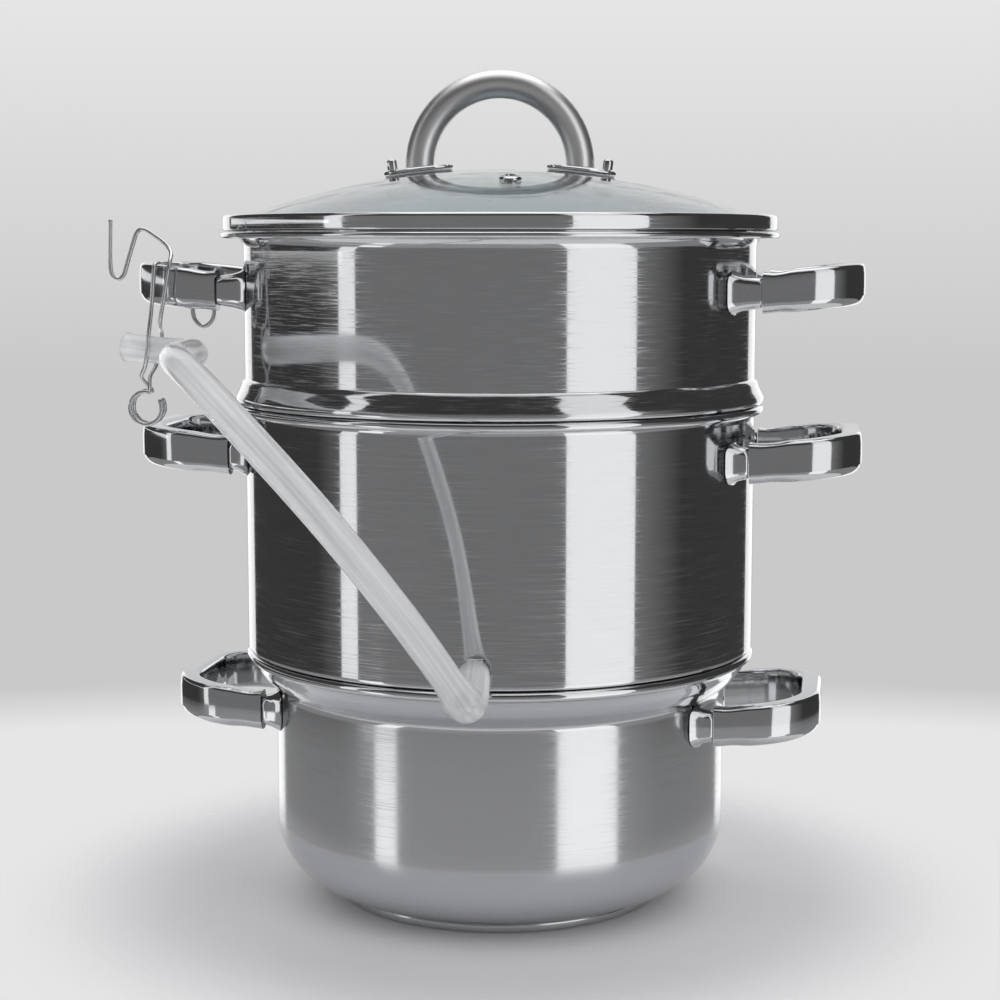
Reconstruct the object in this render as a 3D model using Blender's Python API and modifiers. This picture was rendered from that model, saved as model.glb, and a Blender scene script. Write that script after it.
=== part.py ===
"""Steam juicer: a water pot, a juice container with its hose, a perforated fruit basket and a glass lid.

Lengths are in metres. +Z is up, -Y is the front, and the origin is the middle of the pot's underside.
The four tiers stand on each other and lift off along Z.
"""

import math

import bmesh
import bpy
from mathutils import Matrix, Vector

# Clearances, sheet and facets
FIT_GAP = 0.0003
OVERRUN = 0.004
STEEL_WALL = 0.0009
TURN_STEPS = 36
SMALL_TURN_STEPS = 10
BEAD_STEPS = 4
MERGE_DISTANCE = 0.00001

# Water pot
BASE_OVERHANG = 0.004
BASE_THICKNESS = 0.0042
BASE_EDGE_ROUND = 0.0014
POT_RADIUS = 0.098
POT_HEIGHT = 0.105
POT_CORNER_RADIUS = 0.030
POT_BEAD_RADIUS = 0.0022
COLLAR_FLARE = 0.0103
COLLAR_HEIGHT = 0.0125
COLLAR_BULGE = 0.0061
COLLAR_BULGE_DROP = 0.0068
COLLAR_TOP_INSET = 0.0007
COLLAR_TOP_DROP = 0.0008

# Juice container
VESSEL_STEP = 0.0120
JUICE_HEIGHT = 0.110
JUICE_SPIGOT_DEPTH = 0.0045
JUICE_SPIGOT_PLAY = 0.0036
JUICE_SPIGOT_TAPER = 0.0018
JUICE_CORNER_RADIUS = 0.0012
JUICE_BEAD_RADIUS = 0.0021
JUICE_BEAD_SHIFT = 0.0018
BEAD_NECK_DROP = 0.0011
STEAM_HOLE_RADIUS = 0.044

# Steam cone
CONE_TOP_RADIUS = 0.028
CONE_PLAY = 0.0012
CONE_TOP_CLEARANCE = 0.0053
CONE_FLANGE_WIDTH = 0.0085
CONE_FILLET = 0.0022

# Fruit basket
FRUIT_HEIGHT = 0.115
INSERT_DEPTH = 0.0430
INSERT_PLAY = 0.0023
INSERT_CORNER_RADIUS = 0.017
INSERT_NECK = 0.0011
SHOULDER_HEIGHT = 0.0106
SHOULDER_KNEE_HEIGHT = 0.0079
SHOULDER_KNEE_STEP = 0.0012
SHOULDER_FOOT_HEIGHT = 0.0024
SHOULDER_FOOT_INSET = 0.0005
RIM_OVERHANG = 0.0083
RIM_ROLL_RADIUS = 0.00135
RIM_FLARE = 0.0052
RIM_SEAT_WIDTH = 0.0065

# Holes in the basket
WALL_HOLE_ROWS = 3
WALL_HOLE_PITCH = 0.0075
WALL_HOLE_FIRST_HEIGHT = 0.0240
WALL_HOLE_WIDTH = 0.0028
WALL_HOLE_LENGTH = 0.0052
FLOOR_HOLE_RADIUS = 0.0020
FLOOR_RING_PITCH = 0.0235
FLOOR_RINGS = 3
FLOOR_HOLES_PER_RING = 6

# Spout
SPOUT_RADIUS = 0.0045
SPOUT_LIFT = 0.0010
SPOUT_HOLE_PLAY = 0.0004
SPOUT_BEND_RADIUS = 0.0095
SPOUT_STRAIGHT = 0.0058
SPOUT_DIP_DEGREES = 35.0
SPOUT_DIP_LENGTH = 0.0068
SPOUT_TIP = 0.0020
SPOUT_TAIL = 0.0025
SPOUT_RISE_DEGREES = 39.3
SPOUT_VEER_DEGREES = 20.0
SPOUT_FLANGE_WIDTH = 0.0010
SPOUT_FLANGE_THICKNESS = 0.0012
SPOUT_SEAL_WIDTH = 0.0009
SPOUT_SEAL_THICKNESS = 0.0006
SPOUT_NUT_RADIUS = 0.0064
SPOUT_NUT_THICKNESS = 0.0034

# Hose: its route is read along the free stretch, from the spout to the open end
HOSE_RADIUS = 0.0060
HOSE_PINCH_share = 0.90
HOSE_PINCHED_POINTS = 5
HOSE_CUFF_STRETCH = 0.0012
HOSE_CUFF_PLAY = 0.0003
HOSE_POINT_STEP = 0.022
HOSE_LEAD = 0.010
HOSE_ROUTE = (
    (-0.0297, -0.1672, 0.1423),
    (-0.0401, -0.1768, 0.1583),
    (-0.0524, -0.1803, 0.1750),
    (-0.0661, -0.1794, 0.1914),
    (-0.0804, -0.1773, 0.2071),
    (-0.0947, -0.1716, 0.2216),
    (-0.1071, -0.1586, 0.2324),
    (-0.1161, -0.1399, 0.2377),
    (-0.1226, -0.1194, 0.2391),
    (-0.1260, -0.0983, 0.2392),
    (-0.1256, -0.0745, 0.2390),
    (-0.1240, -0.0505, 0.2383),
    (-0.1261, -0.0405, 0.2378),
    (-0.1314, -0.0301, 0.2375),
    (-0.1392, -0.0214, 0.2374),
    (-0.1472, -0.0163, 0.2377),
    (-0.1592, -0.0109, 0.2388),
)

# Hose clamp: two bent wires that hang on the front arm of the basket's left handle. Their points are shares
# of the handle's height, thickness and height, out along the arm, across it and up.
WIRE_RADIUS = 0.0009
WIRE_STEP = 0.0045
RING_RADIUS = 0.0070
RING_STEPS = 11
RING_START_DEGREES = 105.0
RING_TURN_DEGREES = -318.0
REAR_RING_shares = (1.877, -0.277, -2.918)
FRONT_RING_shares = (1.789, 0.767, -2.918)
SPRING_WIRE_shares = (
    (0.190, -0.651, 0.176),
    (0.190, -0.651, -0.353),
    (0.250, -0.655, -0.735),
    (0.469, -0.629, -0.900),
    (0.695, -0.625, -0.735),
    (0.769, -0.648, -0.353),
    (0.795, -0.675, 0.294),
    (0.830, -0.532, 0.576),
    (0.958, -0.203, 0.641),
    (1.238, 0.010, 0.671),
    (1.468, 0.254, 0.700),
    (1.526, 0.560, 0.618),
    (1.542, 0.660, 0.353),
    (1.590, 0.796, -0.471),
    (1.629, 1.047, -1.059),
    (1.660, 1.105, -1.471),
    (1.758, 0.924, -1.871),
    (1.942, 0.365, -2.165),
)
HOOK_WIRE_shares = (
    (2.677, 0.348, 1.765),
    (2.700, 0.356, 1.000),
    (2.695, 0.354, 0.529),
    (2.631, 0.333, 0.341),
    (2.509, 0.292, 0.282),
    (2.381, 0.249, 0.382),
    (2.294, 0.220, 0.647),
    (2.149, 0.172, 1.118),
    (2.039, 0.135, 1.424),
    (1.888, 0.084, 1.518),
    (1.656, 0.007, 1.388),
    (1.351, -0.048, 1.165),
    (1.198, 0.068, 1.000),
    (1.124, 0.377, 0.859),
    (1.120, 0.710, 0.647),
    (1.168, 0.845, 0.294),
    (1.273, 0.880, -0.294),
    (1.368, 0.745, -0.718),
    (1.441, 0.293, -0.918),
    (1.515, -0.303, -0.988),
    (1.573, -0.641, -1.206),
    (1.637, -0.692, -1.529),
    (1.724, -0.519, -1.906),
    (1.762, 0.161, -2.165),
)

# Side handles and the brackets that carry them
HANDLE_TURN_DEGREES = -9.5
HANDLE_HALF_SPAN = 0.039
HANDLE_STANDOFF = 0.045
POT_HANDLE_STANDOFF = 0.042
HANDLE_HEIGHT = 0.0170
HANDLE_THICKNESS = 0.0085
HANDLE_EDGE_RADIUS = 0.0034
HANDLE_CORNER_RADIUS = 0.024
HANDLE_RISE = 0.0030
HANDLE_CORNER_STEPS = 4
HANDLE_EDGE_STEPS = 1
HANDLE_WAIST_shares = (1.0, 0.94, 0.94)
FRUIT_HANDLE_DROP = 0.0246
JUICE_HANDLE_DROP = 0.0218
POT_HANDLE_DROP = 0.0262
BRACKET_LENGTH = 0.0115
SHORT_BRACKET_LENGTH = 0.0070
BRACKET_HEIGHT = 0.0155
BRACKET_WIDTH = 0.0100
BRACKET_TIP_share = 0.78
BRACKET_EDGE_ROUND = 0.0012

# Lid
BAND_PLAY = 0.0003
BAND_ROOM = 0.0014
BAND_WALL = 0.0007
BAND_LIP_WIDTH = 0.0064
BAND_EDGE_ROUND = 0.0007
BAND_SKIRT_PLAY = 0.0005
BAND_SKIRT_DEPTH = 0.0045
GLASS_THICKNESS = 0.0042
GLASS_BRIM_WIDTH = 0.0057
GLASS_DOME_RISE = 0.0211
GLASS_DOME_STEPS = 5
GLASS_EDGE_ROUND = 0.0008
GLASS_HOLE_PLAY = 0.0003

# Lid handle
ARCH_TUBE_RADIUS = 0.0062
ARCH_HALF_SPAN = 0.0340
ARCH_HEIGHT = 0.0350
ARCH_STEPS = 16
FOOT_MARGIN = 0.0008
FOOT_WIDTH = 0.0150
FOOT_THICKNESS = 0.0014
FOOT_SHIFT = 0.0005
FOOT_CORNER_RADIUS = 0.0055
GASKET_THICKNESS = 0.0008
GASKET_INSET = 0.0006
BOLT_OFFSET = 0.0115
BOLT_SHANK_RADIUS = 0.0015
BOLT_HEAD_RADIUS = 0.0027
BOLT_HEAD_HEIGHT = 0.0046
BOLT_OVERHANG = 0.0006
LID_NUT_RADIUS = 0.0034
LID_NUT_THICKNESS = 0.0022
LID_WASHER_RADIUS = 0.0048
LID_WASHER_THICKNESS = 0.0008

# Steam vent in the lid
VENT_DISTANCE = 0.060
VENT_TURN_DEGREES = -86.0
VENT_BORE_RADIUS = 0.0019
VENT_SHANK_RADIUS = 0.0028
VENT_FLANGE_RADIUS = 0.0047
VENT_FLANGE_HEIGHT = 0.0016
VENT_BACK_RADIUS = 0.0041
VENT_BACK_HEIGHT = 0.0008

# Widths that follow from the sizes above
BASE_RADIUS = POT_RADIUS - POT_CORNER_RADIUS + BASE_OVERHANG
COLLAR_BULGE_RADIUS = POT_RADIUS + COLLAR_BULGE
POT_BEAD_CENTRE = POT_RADIUS + COLLAR_FLARE
VESSEL_RADIUS = POT_RADIUS + VESSEL_STEP
JUICE_SPIGOT_RADIUS = POT_BEAD_CENTRE - POT_BEAD_RADIUS - JUICE_SPIGOT_PLAY
JUICE_BEAD_CENTRE = VESSEL_RADIUS + JUICE_BEAD_SHIFT
CONE_BASE_RADIUS = STEAM_HOLE_RADIUS - CONE_PLAY
CONE_FLANGE_RADIUS = STEAM_HOLE_RADIUS + CONE_FLANGE_WIDTH
INSERT_RADIUS = VESSEL_RADIUS - STEEL_WALL - INSERT_PLAY
SHOULDER_KNEE_RADIUS = VESSEL_RADIUS + SHOULDER_KNEE_STEP
SHOULDER_RADIUS = JUICE_BEAD_CENTRE + JUICE_BEAD_RADIUS
RIM_FLANGE_RADIUS = VESSEL_RADIUS + RIM_OVERHANG
RIM_SEAT_RADIUS = VESSEL_RADIUS + RIM_SEAT_WIDTH
SPOUT_BORE_RADIUS = SPOUT_RADIUS - STEEL_WALL
SPOUT_FLANGE_RADIUS = SPOUT_RADIUS + SPOUT_FLANGE_WIDTH
SPOUT_SEAL_RADIUS = SPOUT_RADIUS + SPOUT_SEAL_WIDTH
HOSE_CUFF_RADIUS = HOSE_RADIUS + HOSE_CUFF_STRETCH
HANDLE_REACH = VESSEL_RADIUS + HANDLE_STANDOFF
POT_HANDLE_REACH = POT_RADIUS + POT_HANDLE_STANDOFF
BAND_RADIUS = RIM_FLANGE_RADIUS + BAND_PLAY
BAND_LIP_RADIUS = BAND_RADIUS - BAND_LIP_WIDTH
BAND_SKIRT_RADIUS = VESSEL_RADIUS - STEEL_WALL - BAND_SKIRT_PLAY
BAND_HEIGHT = 2 * BAND_WALL + GLASS_THICKNESS + BAND_ROOM
FOOT_LENGTH = 2 * (BOLT_OFFSET + BOLT_HEAD_RADIUS + FOOT_MARGIN)

# Heights that follow from the sizes above
POT_FLOOR_Z = BASE_THICKNESS + FIT_GAP
POT_TOP_Z = POT_FLOOR_Z + POT_HEIGHT
JUICE_SEAT_Z = POT_TOP_Z + FIT_GAP
JUICE_FLOOR_Z = JUICE_SEAT_Z - JUICE_SPIGOT_DEPTH
JUICE_TOP_Z = JUICE_FLOOR_Z + JUICE_HEIGHT
FRUIT_SEAT_Z = JUICE_TOP_Z + FIT_GAP
FRUIT_FLOOR_Z = FRUIT_SEAT_Z - INSERT_DEPTH
FRUIT_TOP_Z = FRUIT_FLOOR_Z + FRUIT_HEIGHT
BAND_Z = FRUIT_TOP_Z + FIT_GAP
GLASS_BRIM_Z = BAND_Z + BAND_WALL + FIT_GAP
GLASS_RADIUS = BAND_RADIUS - BAND_WALL - FIT_GAP - FIT_GAP
GLASS_DOME_RADIUS = GLASS_RADIUS - GLASS_BRIM_WIDTH
GLASS_TOP_Z = GLASS_BRIM_Z + GLASS_THICKNESS + GLASS_DOME_RISE
GLASS_SPHERE_RADIUS = (GLASS_DOME_RADIUS**2 + GLASS_DOME_RISE**2) / (2 * GLASS_DOME_RISE)
WALL_FACE_share = math.cos(math.pi / TURN_STEPS)
SPOUT_Z = JUICE_SEAT_Z + SPOUT_NUT_RADIUS + SPOUT_LIFT
FRUIT_HANDLE_Z = FRUIT_TOP_Z - FRUIT_HANDLE_DROP
SPOUT_TURN = -math.pi / 2 - math.pi / TURN_STEPS

PARTS = "steam_juicer"
CUTTERS = "cutters"


def clear_scene():
    """Removes what the scene holds, with its collections and materials."""
    for thing in list(bpy.data.objects):
        bpy.data.objects.remove(thing, do_unlink=True)
    for group in list(bpy.data.collections):
        bpy.data.collections.remove(group)
    for name in (PARTS, CUTTERS):
        bpy.context.scene.collection.children.link(bpy.data.collections.new(name))


def finish(name, colour, roughness, metallic, see_through=0.0):
    """A Principled material for one sub-part."""
    made = bpy.data.materials.new(name)
    made.use_nodes = True
    shader = made.node_tree.nodes["Principled BSDF"]
    shader.inputs["Base Color"].default_value = (*colour, 1.0)
    shader.inputs["Roughness"].default_value = roughness
    shader.inputs["Metallic"].default_value = metallic
    shader.inputs["Transmission Weight"].default_value = see_through
    made.diffuse_color = (*colour, 1.0)
    return made


def steel(name):
    """Polished stainless sheet."""
    return finish(name, (0.62, 0.62, 0.63), 0.22, 1.0)


def satin_steel(name):
    """Stainless steel with a fine satin grain."""
    return finish(name, (0.58, 0.58, 0.59), 0.38, 1.0)


def silicone(name):
    """Milky silicone rubber."""
    return finish(name, (0.80, 0.82, 0.83), 0.45, 0.0, 0.4)


def add(name, data, material, body=None):
    """A new object in the parts' collection, carried by the empty that stands for its body."""
    thing = bpy.data.objects.new(name, data)
    bpy.data.collections[PARTS].objects.link(thing)
    if material is not None:
        data.materials.append(material)
    carry(thing, body)
    return thing


def carry(thing, body):
    """Parents a piece to a body's empty and leaves the piece where it is."""
    if body is not None:
        thing.parent = body
        thing.matrix_parent_inverse = body.matrix_world.inverted()


def body_empty(name, height):
    """An empty on the lift axis that carries one tier."""
    empty = bpy.data.objects.new(name, None)
    empty.location = (0, 0, height)
    bpy.data.collections[PARTS].objects.link(empty)
    return empty


def as_cutter(thing):
    """Moves an object to the cutters and keeps it out of the model."""
    for group in list(thing.users_collection):
        group.objects.unlink(thing)
    bpy.data.collections[CUTTERS].objects.link(thing)
    thing.hide_render = True
    thing.display_type = "WIRE"
    return thing


def boolean(thing, other, operation="DIFFERENCE"):
    """Cuts the other object from this one, or joins it."""
    modifier = thing.modifiers.new(other.name, "BOOLEAN")
    modifier.operation = operation
    modifier.solver = "EXACT"
    modifier.object = other


def round_edges(thing, width, segments=1):
    """Rounds the edges of a boxy piece."""
    modifier = thing.modifiers.new("rounded", "BEVEL")
    modifier.width = width
    modifier.segments = segments
    modifier.limit_method = "ANGLE"


def arc(centre, radius, start, end, steps):
    """Points of a circular arc in a profile, its angles in degrees from +X towards +Z."""
    points = []
    for step in range(steps + 1):
        angle = math.radians(start + (end - start) * step / steps)
        points.append((centre[0] + radius * math.cos(angle), centre[1] + radius * math.sin(angle)))
    return points


def offset(path, wall):
    """The inner side of a sheet whose outer side runs down the path."""
    normals = []
    for (r0, z0), (r1, z1) in zip(path, path[1:]):
        length = math.hypot(r1 - r0, z1 - z0)
        normals.append(((z1 - z0) / length, (r0 - r1) / length))
    inner = []
    for index, (r, z) in enumerate(path):
        before = normals[max(index - 1, 0)]
        after = normals[min(index, len(normals) - 1)]
        mitre = 1 + before[0] * after[0] + before[1] * after[1]
        shift_r = wall * (before[0] + after[0]) / mitre
        shift_z = wall * (before[1] + after[1]) / mitre
        inner.append((max(r + shift_r, 0), z + shift_z))
    if path[-1][0] == 0:
        inner[-1] = (0, path[-1][1] + wall)
    return inner


def shell(path, wall, lip=()):
    """The profile of a turned sheet: up its inner side, over the lip and down its outer side."""
    return list(reversed(offset(path, wall))) + list(lip) + list(path)


def turned(name, profile, material, body=None, steps=TURN_STEPS):
    """A profile turned about Z. A profile that leaves the axis is closed first."""
    closed = profile[0][0] > 0
    mesh = bpy.data.meshes.new(name)
    edges = [(index, index + 1) for index in range(len(profile) - 1)]
    if closed:
        edges.append((len(profile) - 1, 0))
    mesh.from_pydata([(r, 0, z) for r, z in profile], edges, [])
    thing = add(name, mesh, material, body)
    screw = thing.modifiers.new("turned", "SCREW")
    screw.axis = "Z"
    screw.steps = steps
    screw.render_steps = steps
    screw.use_merge_vertices = True
    screw.merge_threshold = MERGE_DISTANCE
    return thing


def disc(name, radius, bottom, top, material, body=None, sides=SMALL_TURN_STEPS, bore=0.0):
    """A round or many-sided plate about its own Z axis, with a bore where one is given."""
    mesh = bpy.data.meshes.new(name)
    shape = bmesh.new()
    middle = Matrix.Translation((0, 0, (bottom + top) / 2))
    bmesh.ops.create_cone(
        shape,
        cap_ends=True,
        segments=sides,
        radius1=radius,
        radius2=radius,
        depth=top - bottom,
        matrix=middle,
    )
    shape.to_mesh(mesh)
    shape.free()
    thing = add(name, mesh, material, body)
    if bore > 0:
        hole = disc(name + "_bore", bore, bottom - OVERRUN, top + OVERRUN, None)
        hole.parent = thing
        boolean(thing, as_cutter(hole))
    return thing


def box(name, size, centre, material=None, body=None):
    """A box from its size and its centre, kept in its mesh."""
    mesh = bpy.data.meshes.new(name)
    shape = bmesh.new()
    bmesh.ops.create_cube(shape, size=1.0, matrix=Matrix.Translation(centre) @ Matrix.Diagonal((*size, 1)))
    shape.to_mesh(mesh)
    shape.free()
    return add(name, mesh, material, body)


def wire_curve(name, points, radius, resolution, material=None, body=None):
    """A round tube or wire along points, with filled ends."""
    curve = bpy.data.curves.new(name, "CURVE")
    curve.dimensions = "3D"
    curve.bevel_depth = radius
    curve.bevel_resolution = resolution
    curve.use_fill_caps = True
    spline = curve.splines.new("POLY")
    spline.points.add(len(points) - 1)
    for point, place in zip(spline.points, points):
        point.co = (*place, 1)
    return add(name, curve, material, body)


def meshed(curve_object):
    """The same object as a welded mesh, so that it can be cut or joined."""
    name = curve_object.name
    parent = curve_object.parent
    bpy.context.view_layer.update()
    graph = bpy.context.evaluated_depsgraph_get()
    mesh = bpy.data.meshes.new_from_object(curve_object.evaluated_get(graph))
    place = curve_object.matrix_world.copy()
    bpy.data.objects.remove(curve_object, do_unlink=True)
    shape = bmesh.new()
    shape.from_mesh(mesh)
    bmesh.ops.remove_doubles(shape, verts=shape.verts, dist=MERGE_DISTANCE)
    bmesh.ops.recalc_face_normals(shape, faces=shape.faces)
    shape.to_mesh(mesh)
    shape.free()
    thing = bpy.data.objects.new(name, mesh)
    bpy.data.collections[PARTS].objects.link(thing)
    thing.matrix_world = place
    carry(thing, parent)
    return thing


def smooth_route(points, step):
    """Points about one step apart on the smooth curve through the given ones."""
    places = [Vector(point) for point in points]
    ends = [2 * places[0] - places[1], *places, 2 * places[-1] - places[-2]]
    fine = []
    for before, start, end, after in zip(ends, ends[1:], ends[2:], ends[3:]):
        pieces = max(1, round((end - start).length / step))
        for piece in range(pieces):
            t = piece / pieces
            bend = (3 * start - before - 3 * end + after) * t**3
            lean = (2 * before - 5 * start + 4 * end - after) * t**2
            fine.append(start + ((end - before) * t + lean + bend) / 2)
    fine.append(places[-1])
    return fine


def pose(thing, matrix):
    """Places an object made about its own origin."""
    thing.matrix_basis = matrix @ thing.matrix_basis


def water_pot(body):
    """The encapsulated base and the deep-drawn pot with its flared collar and rolled rim."""
    base = [(0, BASE_THICKNESS), (BASE_RADIUS - BASE_EDGE_ROUND, BASE_THICKNESS)]
    base += [(BASE_RADIUS, BASE_THICKNESS - BASE_EDGE_ROUND), (BASE_RADIUS, BASE_EDGE_ROUND)]
    base += [(BASE_RADIUS - BASE_EDGE_ROUND, 0), (0, 0)]
    turned("base_plate", base, satin_steel("base steel"), body)
    collar_top = POT_TOP_Z - 2 * POT_BEAD_RADIUS - COLLAR_TOP_DROP
    collar_foot = POT_TOP_Z - 2 * POT_BEAD_RADIUS - COLLAR_HEIGHT
    path = [
        (POT_BEAD_CENTRE - COLLAR_TOP_INSET, collar_top),
        (COLLAR_BULGE_RADIUS, collar_top - COLLAR_BULGE_DROP + COLLAR_TOP_DROP),
        (POT_RADIUS, collar_foot),
    ]
    corner = (POT_RADIUS - POT_CORNER_RADIUS, POT_FLOOR_Z + POT_CORNER_RADIUS)
    path += arc(corner, POT_CORNER_RADIUS, 0, -90, 5)
    path.append((0, POT_FLOOR_Z))
    lip = arc((POT_BEAD_CENTRE, POT_TOP_Z - POT_BEAD_RADIUS), POT_BEAD_RADIUS, 180, -90, BEAD_STEPS)
    turned("water_pot", shell(path, STEEL_WALL, lip), steel("pot steel"), body)


def juice_vessel(body):
    """The juice container, open in the middle for the steam cone."""
    neck = JUICE_TOP_Z - 2 * JUICE_BEAD_RADIUS - BEAD_NECK_DROP
    path = [(VESSEL_RADIUS, neck)]
    corner = (VESSEL_RADIUS - JUICE_CORNER_RADIUS, JUICE_SEAT_Z + JUICE_CORNER_RADIUS)
    path += arc(corner, JUICE_CORNER_RADIUS, 0, -90, 1)
    path += [
        (JUICE_SPIGOT_RADIUS + JUICE_SPIGOT_TAPER, JUICE_SEAT_Z),
        (JUICE_SPIGOT_RADIUS, JUICE_FLOOR_Z),
        (STEAM_HOLE_RADIUS, JUICE_FLOOR_Z),
    ]
    lip = arc((JUICE_BEAD_CENTRE, JUICE_TOP_Z - JUICE_BEAD_RADIUS), JUICE_BEAD_RADIUS, 180, -90, BEAD_STEPS)
    vessel = turned("juice_vessel", shell(path, STEEL_WALL, lip), steel("juice vessel steel"), body)
    hole = disc("spout_hole", SPOUT_RADIUS + SPOUT_HOLE_PLAY, -OVERRUN, OVERRUN, None)
    pose(hole, spout_frame() @ Matrix.Rotation(math.pi / 2, 4, "Y"))
    boolean(vessel, as_cutter(hole))

    seat = JUICE_FLOOR_Z + STEEL_WALL + FIT_GAP + STEEL_WALL
    cone = [
        (CONE_TOP_RADIUS, FRUIT_FLOOR_Z - CONE_TOP_CLEARANCE),
        (CONE_BASE_RADIUS, seat + CONE_FILLET),
        (CONE_BASE_RADIUS + CONE_FILLET, seat),
        (CONE_FLANGE_RADIUS, seat),
    ]
    turned("steam_cone", shell(cone, STEEL_WALL), steel("cone steel"), body)


def spout_frame():
    """The spout's own axes: X out through the wall from its face, Y to the viewer's right, Z up."""
    turn = Matrix.Rotation(SPOUT_TURN, 4, "Z")
    return Matrix.Translation((0, 0, SPOUT_Z)) @ turn @ Matrix.Translation((wall_face(), 0, 0))


def wall_face():
    """How far the middle of a facet of the containers' wall lies from the axis."""
    return VESSEL_RADIUS * WALL_FACE_share


def spout_path(start, tip, steps=5):
    """The spout's centre line: out of the wall, down its dip, round its bend and up to a straight tip."""
    dip = math.radians(SPOUT_DIP_DEGREES)
    rise = math.radians(SPOUT_RISE_DEGREES)
    veer = math.radians(SPOUT_VEER_DEGREES)
    out = Vector((1, 0, 0))
    down = Vector((math.cos(dip), 0, -math.sin(dip)))
    heading = Vector((math.cos(rise) * math.cos(veer), -math.cos(rise) * math.sin(veer), math.sin(rise)))
    points = [out * start, out * SPOUT_STRAIGHT]
    points += elbow(points[-1], out, down, steps)
    points.append(points[-1] + down * SPOUT_DIP_LENGTH)
    points += elbow(points[-1], down, heading, steps)
    points.append(points[-1] + heading * tip)
    return points, heading


def elbow(start, before, after, steps):
    """Points round a bend of the spout, from one heading to the next."""
    turn = before.angle(after)
    inward = (after - before * math.cos(turn)) / math.sin(turn)
    points = []
    for step in range(1, steps + 1):
        angle = turn * step / steps
        points.append(start + (before * math.sin(angle) + inward * (1 - math.cos(angle))) * SPOUT_BEND_RADIUS)
    return points


def spout(body):
    """The dipped spout with its inner flange and seal, its nut outside and the hose end pushed over it."""
    frame = spout_frame()
    inner_face = -STEEL_WALL - FIT_GAP
    flange_face = inner_face - SPOUT_SEAL_THICKNESS - FIT_GAP
    flange_back = flange_face - SPOUT_FLANGE_THICKNESS
    tail = flange_back - SPOUT_TAIL
    flat = Matrix.Rotation(math.pi / 2, 4, "Y")

    line, heading = spout_path(tail, SPOUT_TIP)
    tube = meshed(wire_curve("spout", line, SPOUT_RADIUS, 2))
    tube.data.materials.append(steel("spout steel"))
    carry(tube, body)
    flange = disc("spout_flange", SPOUT_FLANGE_RADIUS, flange_back, flange_face, None)
    pose(flange, flat)
    boolean(tube, as_cutter(flange), "UNION")
    bore_line, _ = spout_path(tail - OVERRUN, SPOUT_TIP + OVERRUN)
    bore = as_cutter(meshed(wire_curve("spout_bore", bore_line, SPOUT_BORE_RADIUS, 2)))
    boolean(tube, bore)
    for piece in (tube, flange, bore):
        pose(piece, frame)

    hole = SPOUT_RADIUS + FIT_GAP
    seal_bottom = inner_face - SPOUT_SEAL_THICKNESS
    nut_face = FIT_GAP + SPOUT_NUT_THICKNESS
    seal = disc("spout_seal", SPOUT_SEAL_RADIUS, seal_bottom, inner_face, silicone("seal"), body, bore=hole)
    nut = disc("spout_nut", SPOUT_NUT_RADIUS, FIT_GAP, nut_face, steel("nut steel"), body, sides=6, bore=hole)
    for piece in (seal, nut):
        pose(piece, frame @ flat)

    cuff_line, _ = spout_path(nut_face + FIT_GAP, SPOUT_TIP)
    cuff = meshed(wire_curve("hose_cuff", cuff_line, HOSE_CUFF_RADIUS, 3))
    cuff.data.materials.append(silicone("cuff"))
    carry(cuff, body)
    cuff_bore = as_cutter(meshed(wire_curve("cuff_bore", bore_line, SPOUT_RADIUS + HOSE_CUFF_PLAY, 2)))
    boolean(cuff, cuff_bore)
    for piece in (cuff, cuff_bore):
        pose(piece, frame)
    start = frame @ (line[-1] + heading * FIT_GAP)
    away = (frame.to_3x3() @ heading).normalized()
    return start, away


def hose(body, start, away):
    """The free hose, from the spout round the containers to its open end in the clamp."""
    route = [start, start + away * HOSE_LEAD, *HOSE_ROUTE]
    points = smooth_route(route, HOSE_POINT_STEP)
    tube = wire_curve("hose", points, HOSE_RADIUS, 4, silicone("hose"), body)
    for point in tube.data.splines[0].points[-HOSE_PINCHED_POINTS:]:
        point.radius = HOSE_PINCH_share


def clamp_place(shares):
    """A place about the start of the arm that the clamp hangs on, from shares of the handle's section."""
    along, across, up = shares
    arm = Matrix.Translation((arm_start(VESSEL_RADIUS, BRACKET_LENGTH), HANDLE_HALF_SPAN, FRUIT_HANDLE_Z))
    turn = Matrix.Rotation(math.radians(HANDLE_TURN_DEGREES) + math.pi, 4, "Z")
    return turn @ arm @ Vector((along * HANDLE_HEIGHT, across * HANDLE_THICKNESS, up * HANDLE_HEIGHT))


def ring_points(centre):
    """The finger ring at a wire's end."""
    along, across, up = centre
    points = []
    for step in range(RING_STEPS + 1):
        angle = math.radians(RING_START_DEGREES + RING_TURN_DEGREES * step / RING_STEPS)
        reach = RING_RADIUS / HANDLE_HEIGHT
        points.append(clamp_place((along + reach * math.cos(angle), across, up + reach * math.sin(angle))))
    return points


def clamp(body):
    """The two wires of the hose clamp: they hang on the handle, pinch the hose and end in finger rings."""
    for name, shares, ring in (
        ("clamp_spring_wire", SPRING_WIRE_shares, REAR_RING_shares),
        ("clamp_hook_wire", HOOK_WIRE_shares, FRONT_RING_shares),
    ):
        points = [clamp_place(point) for point in shares] + ring_points(ring)
        wire_curve(name, smooth_route(points, WIRE_STEP), WIRE_RADIUS, 2, steel(name + " steel"), body)


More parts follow.
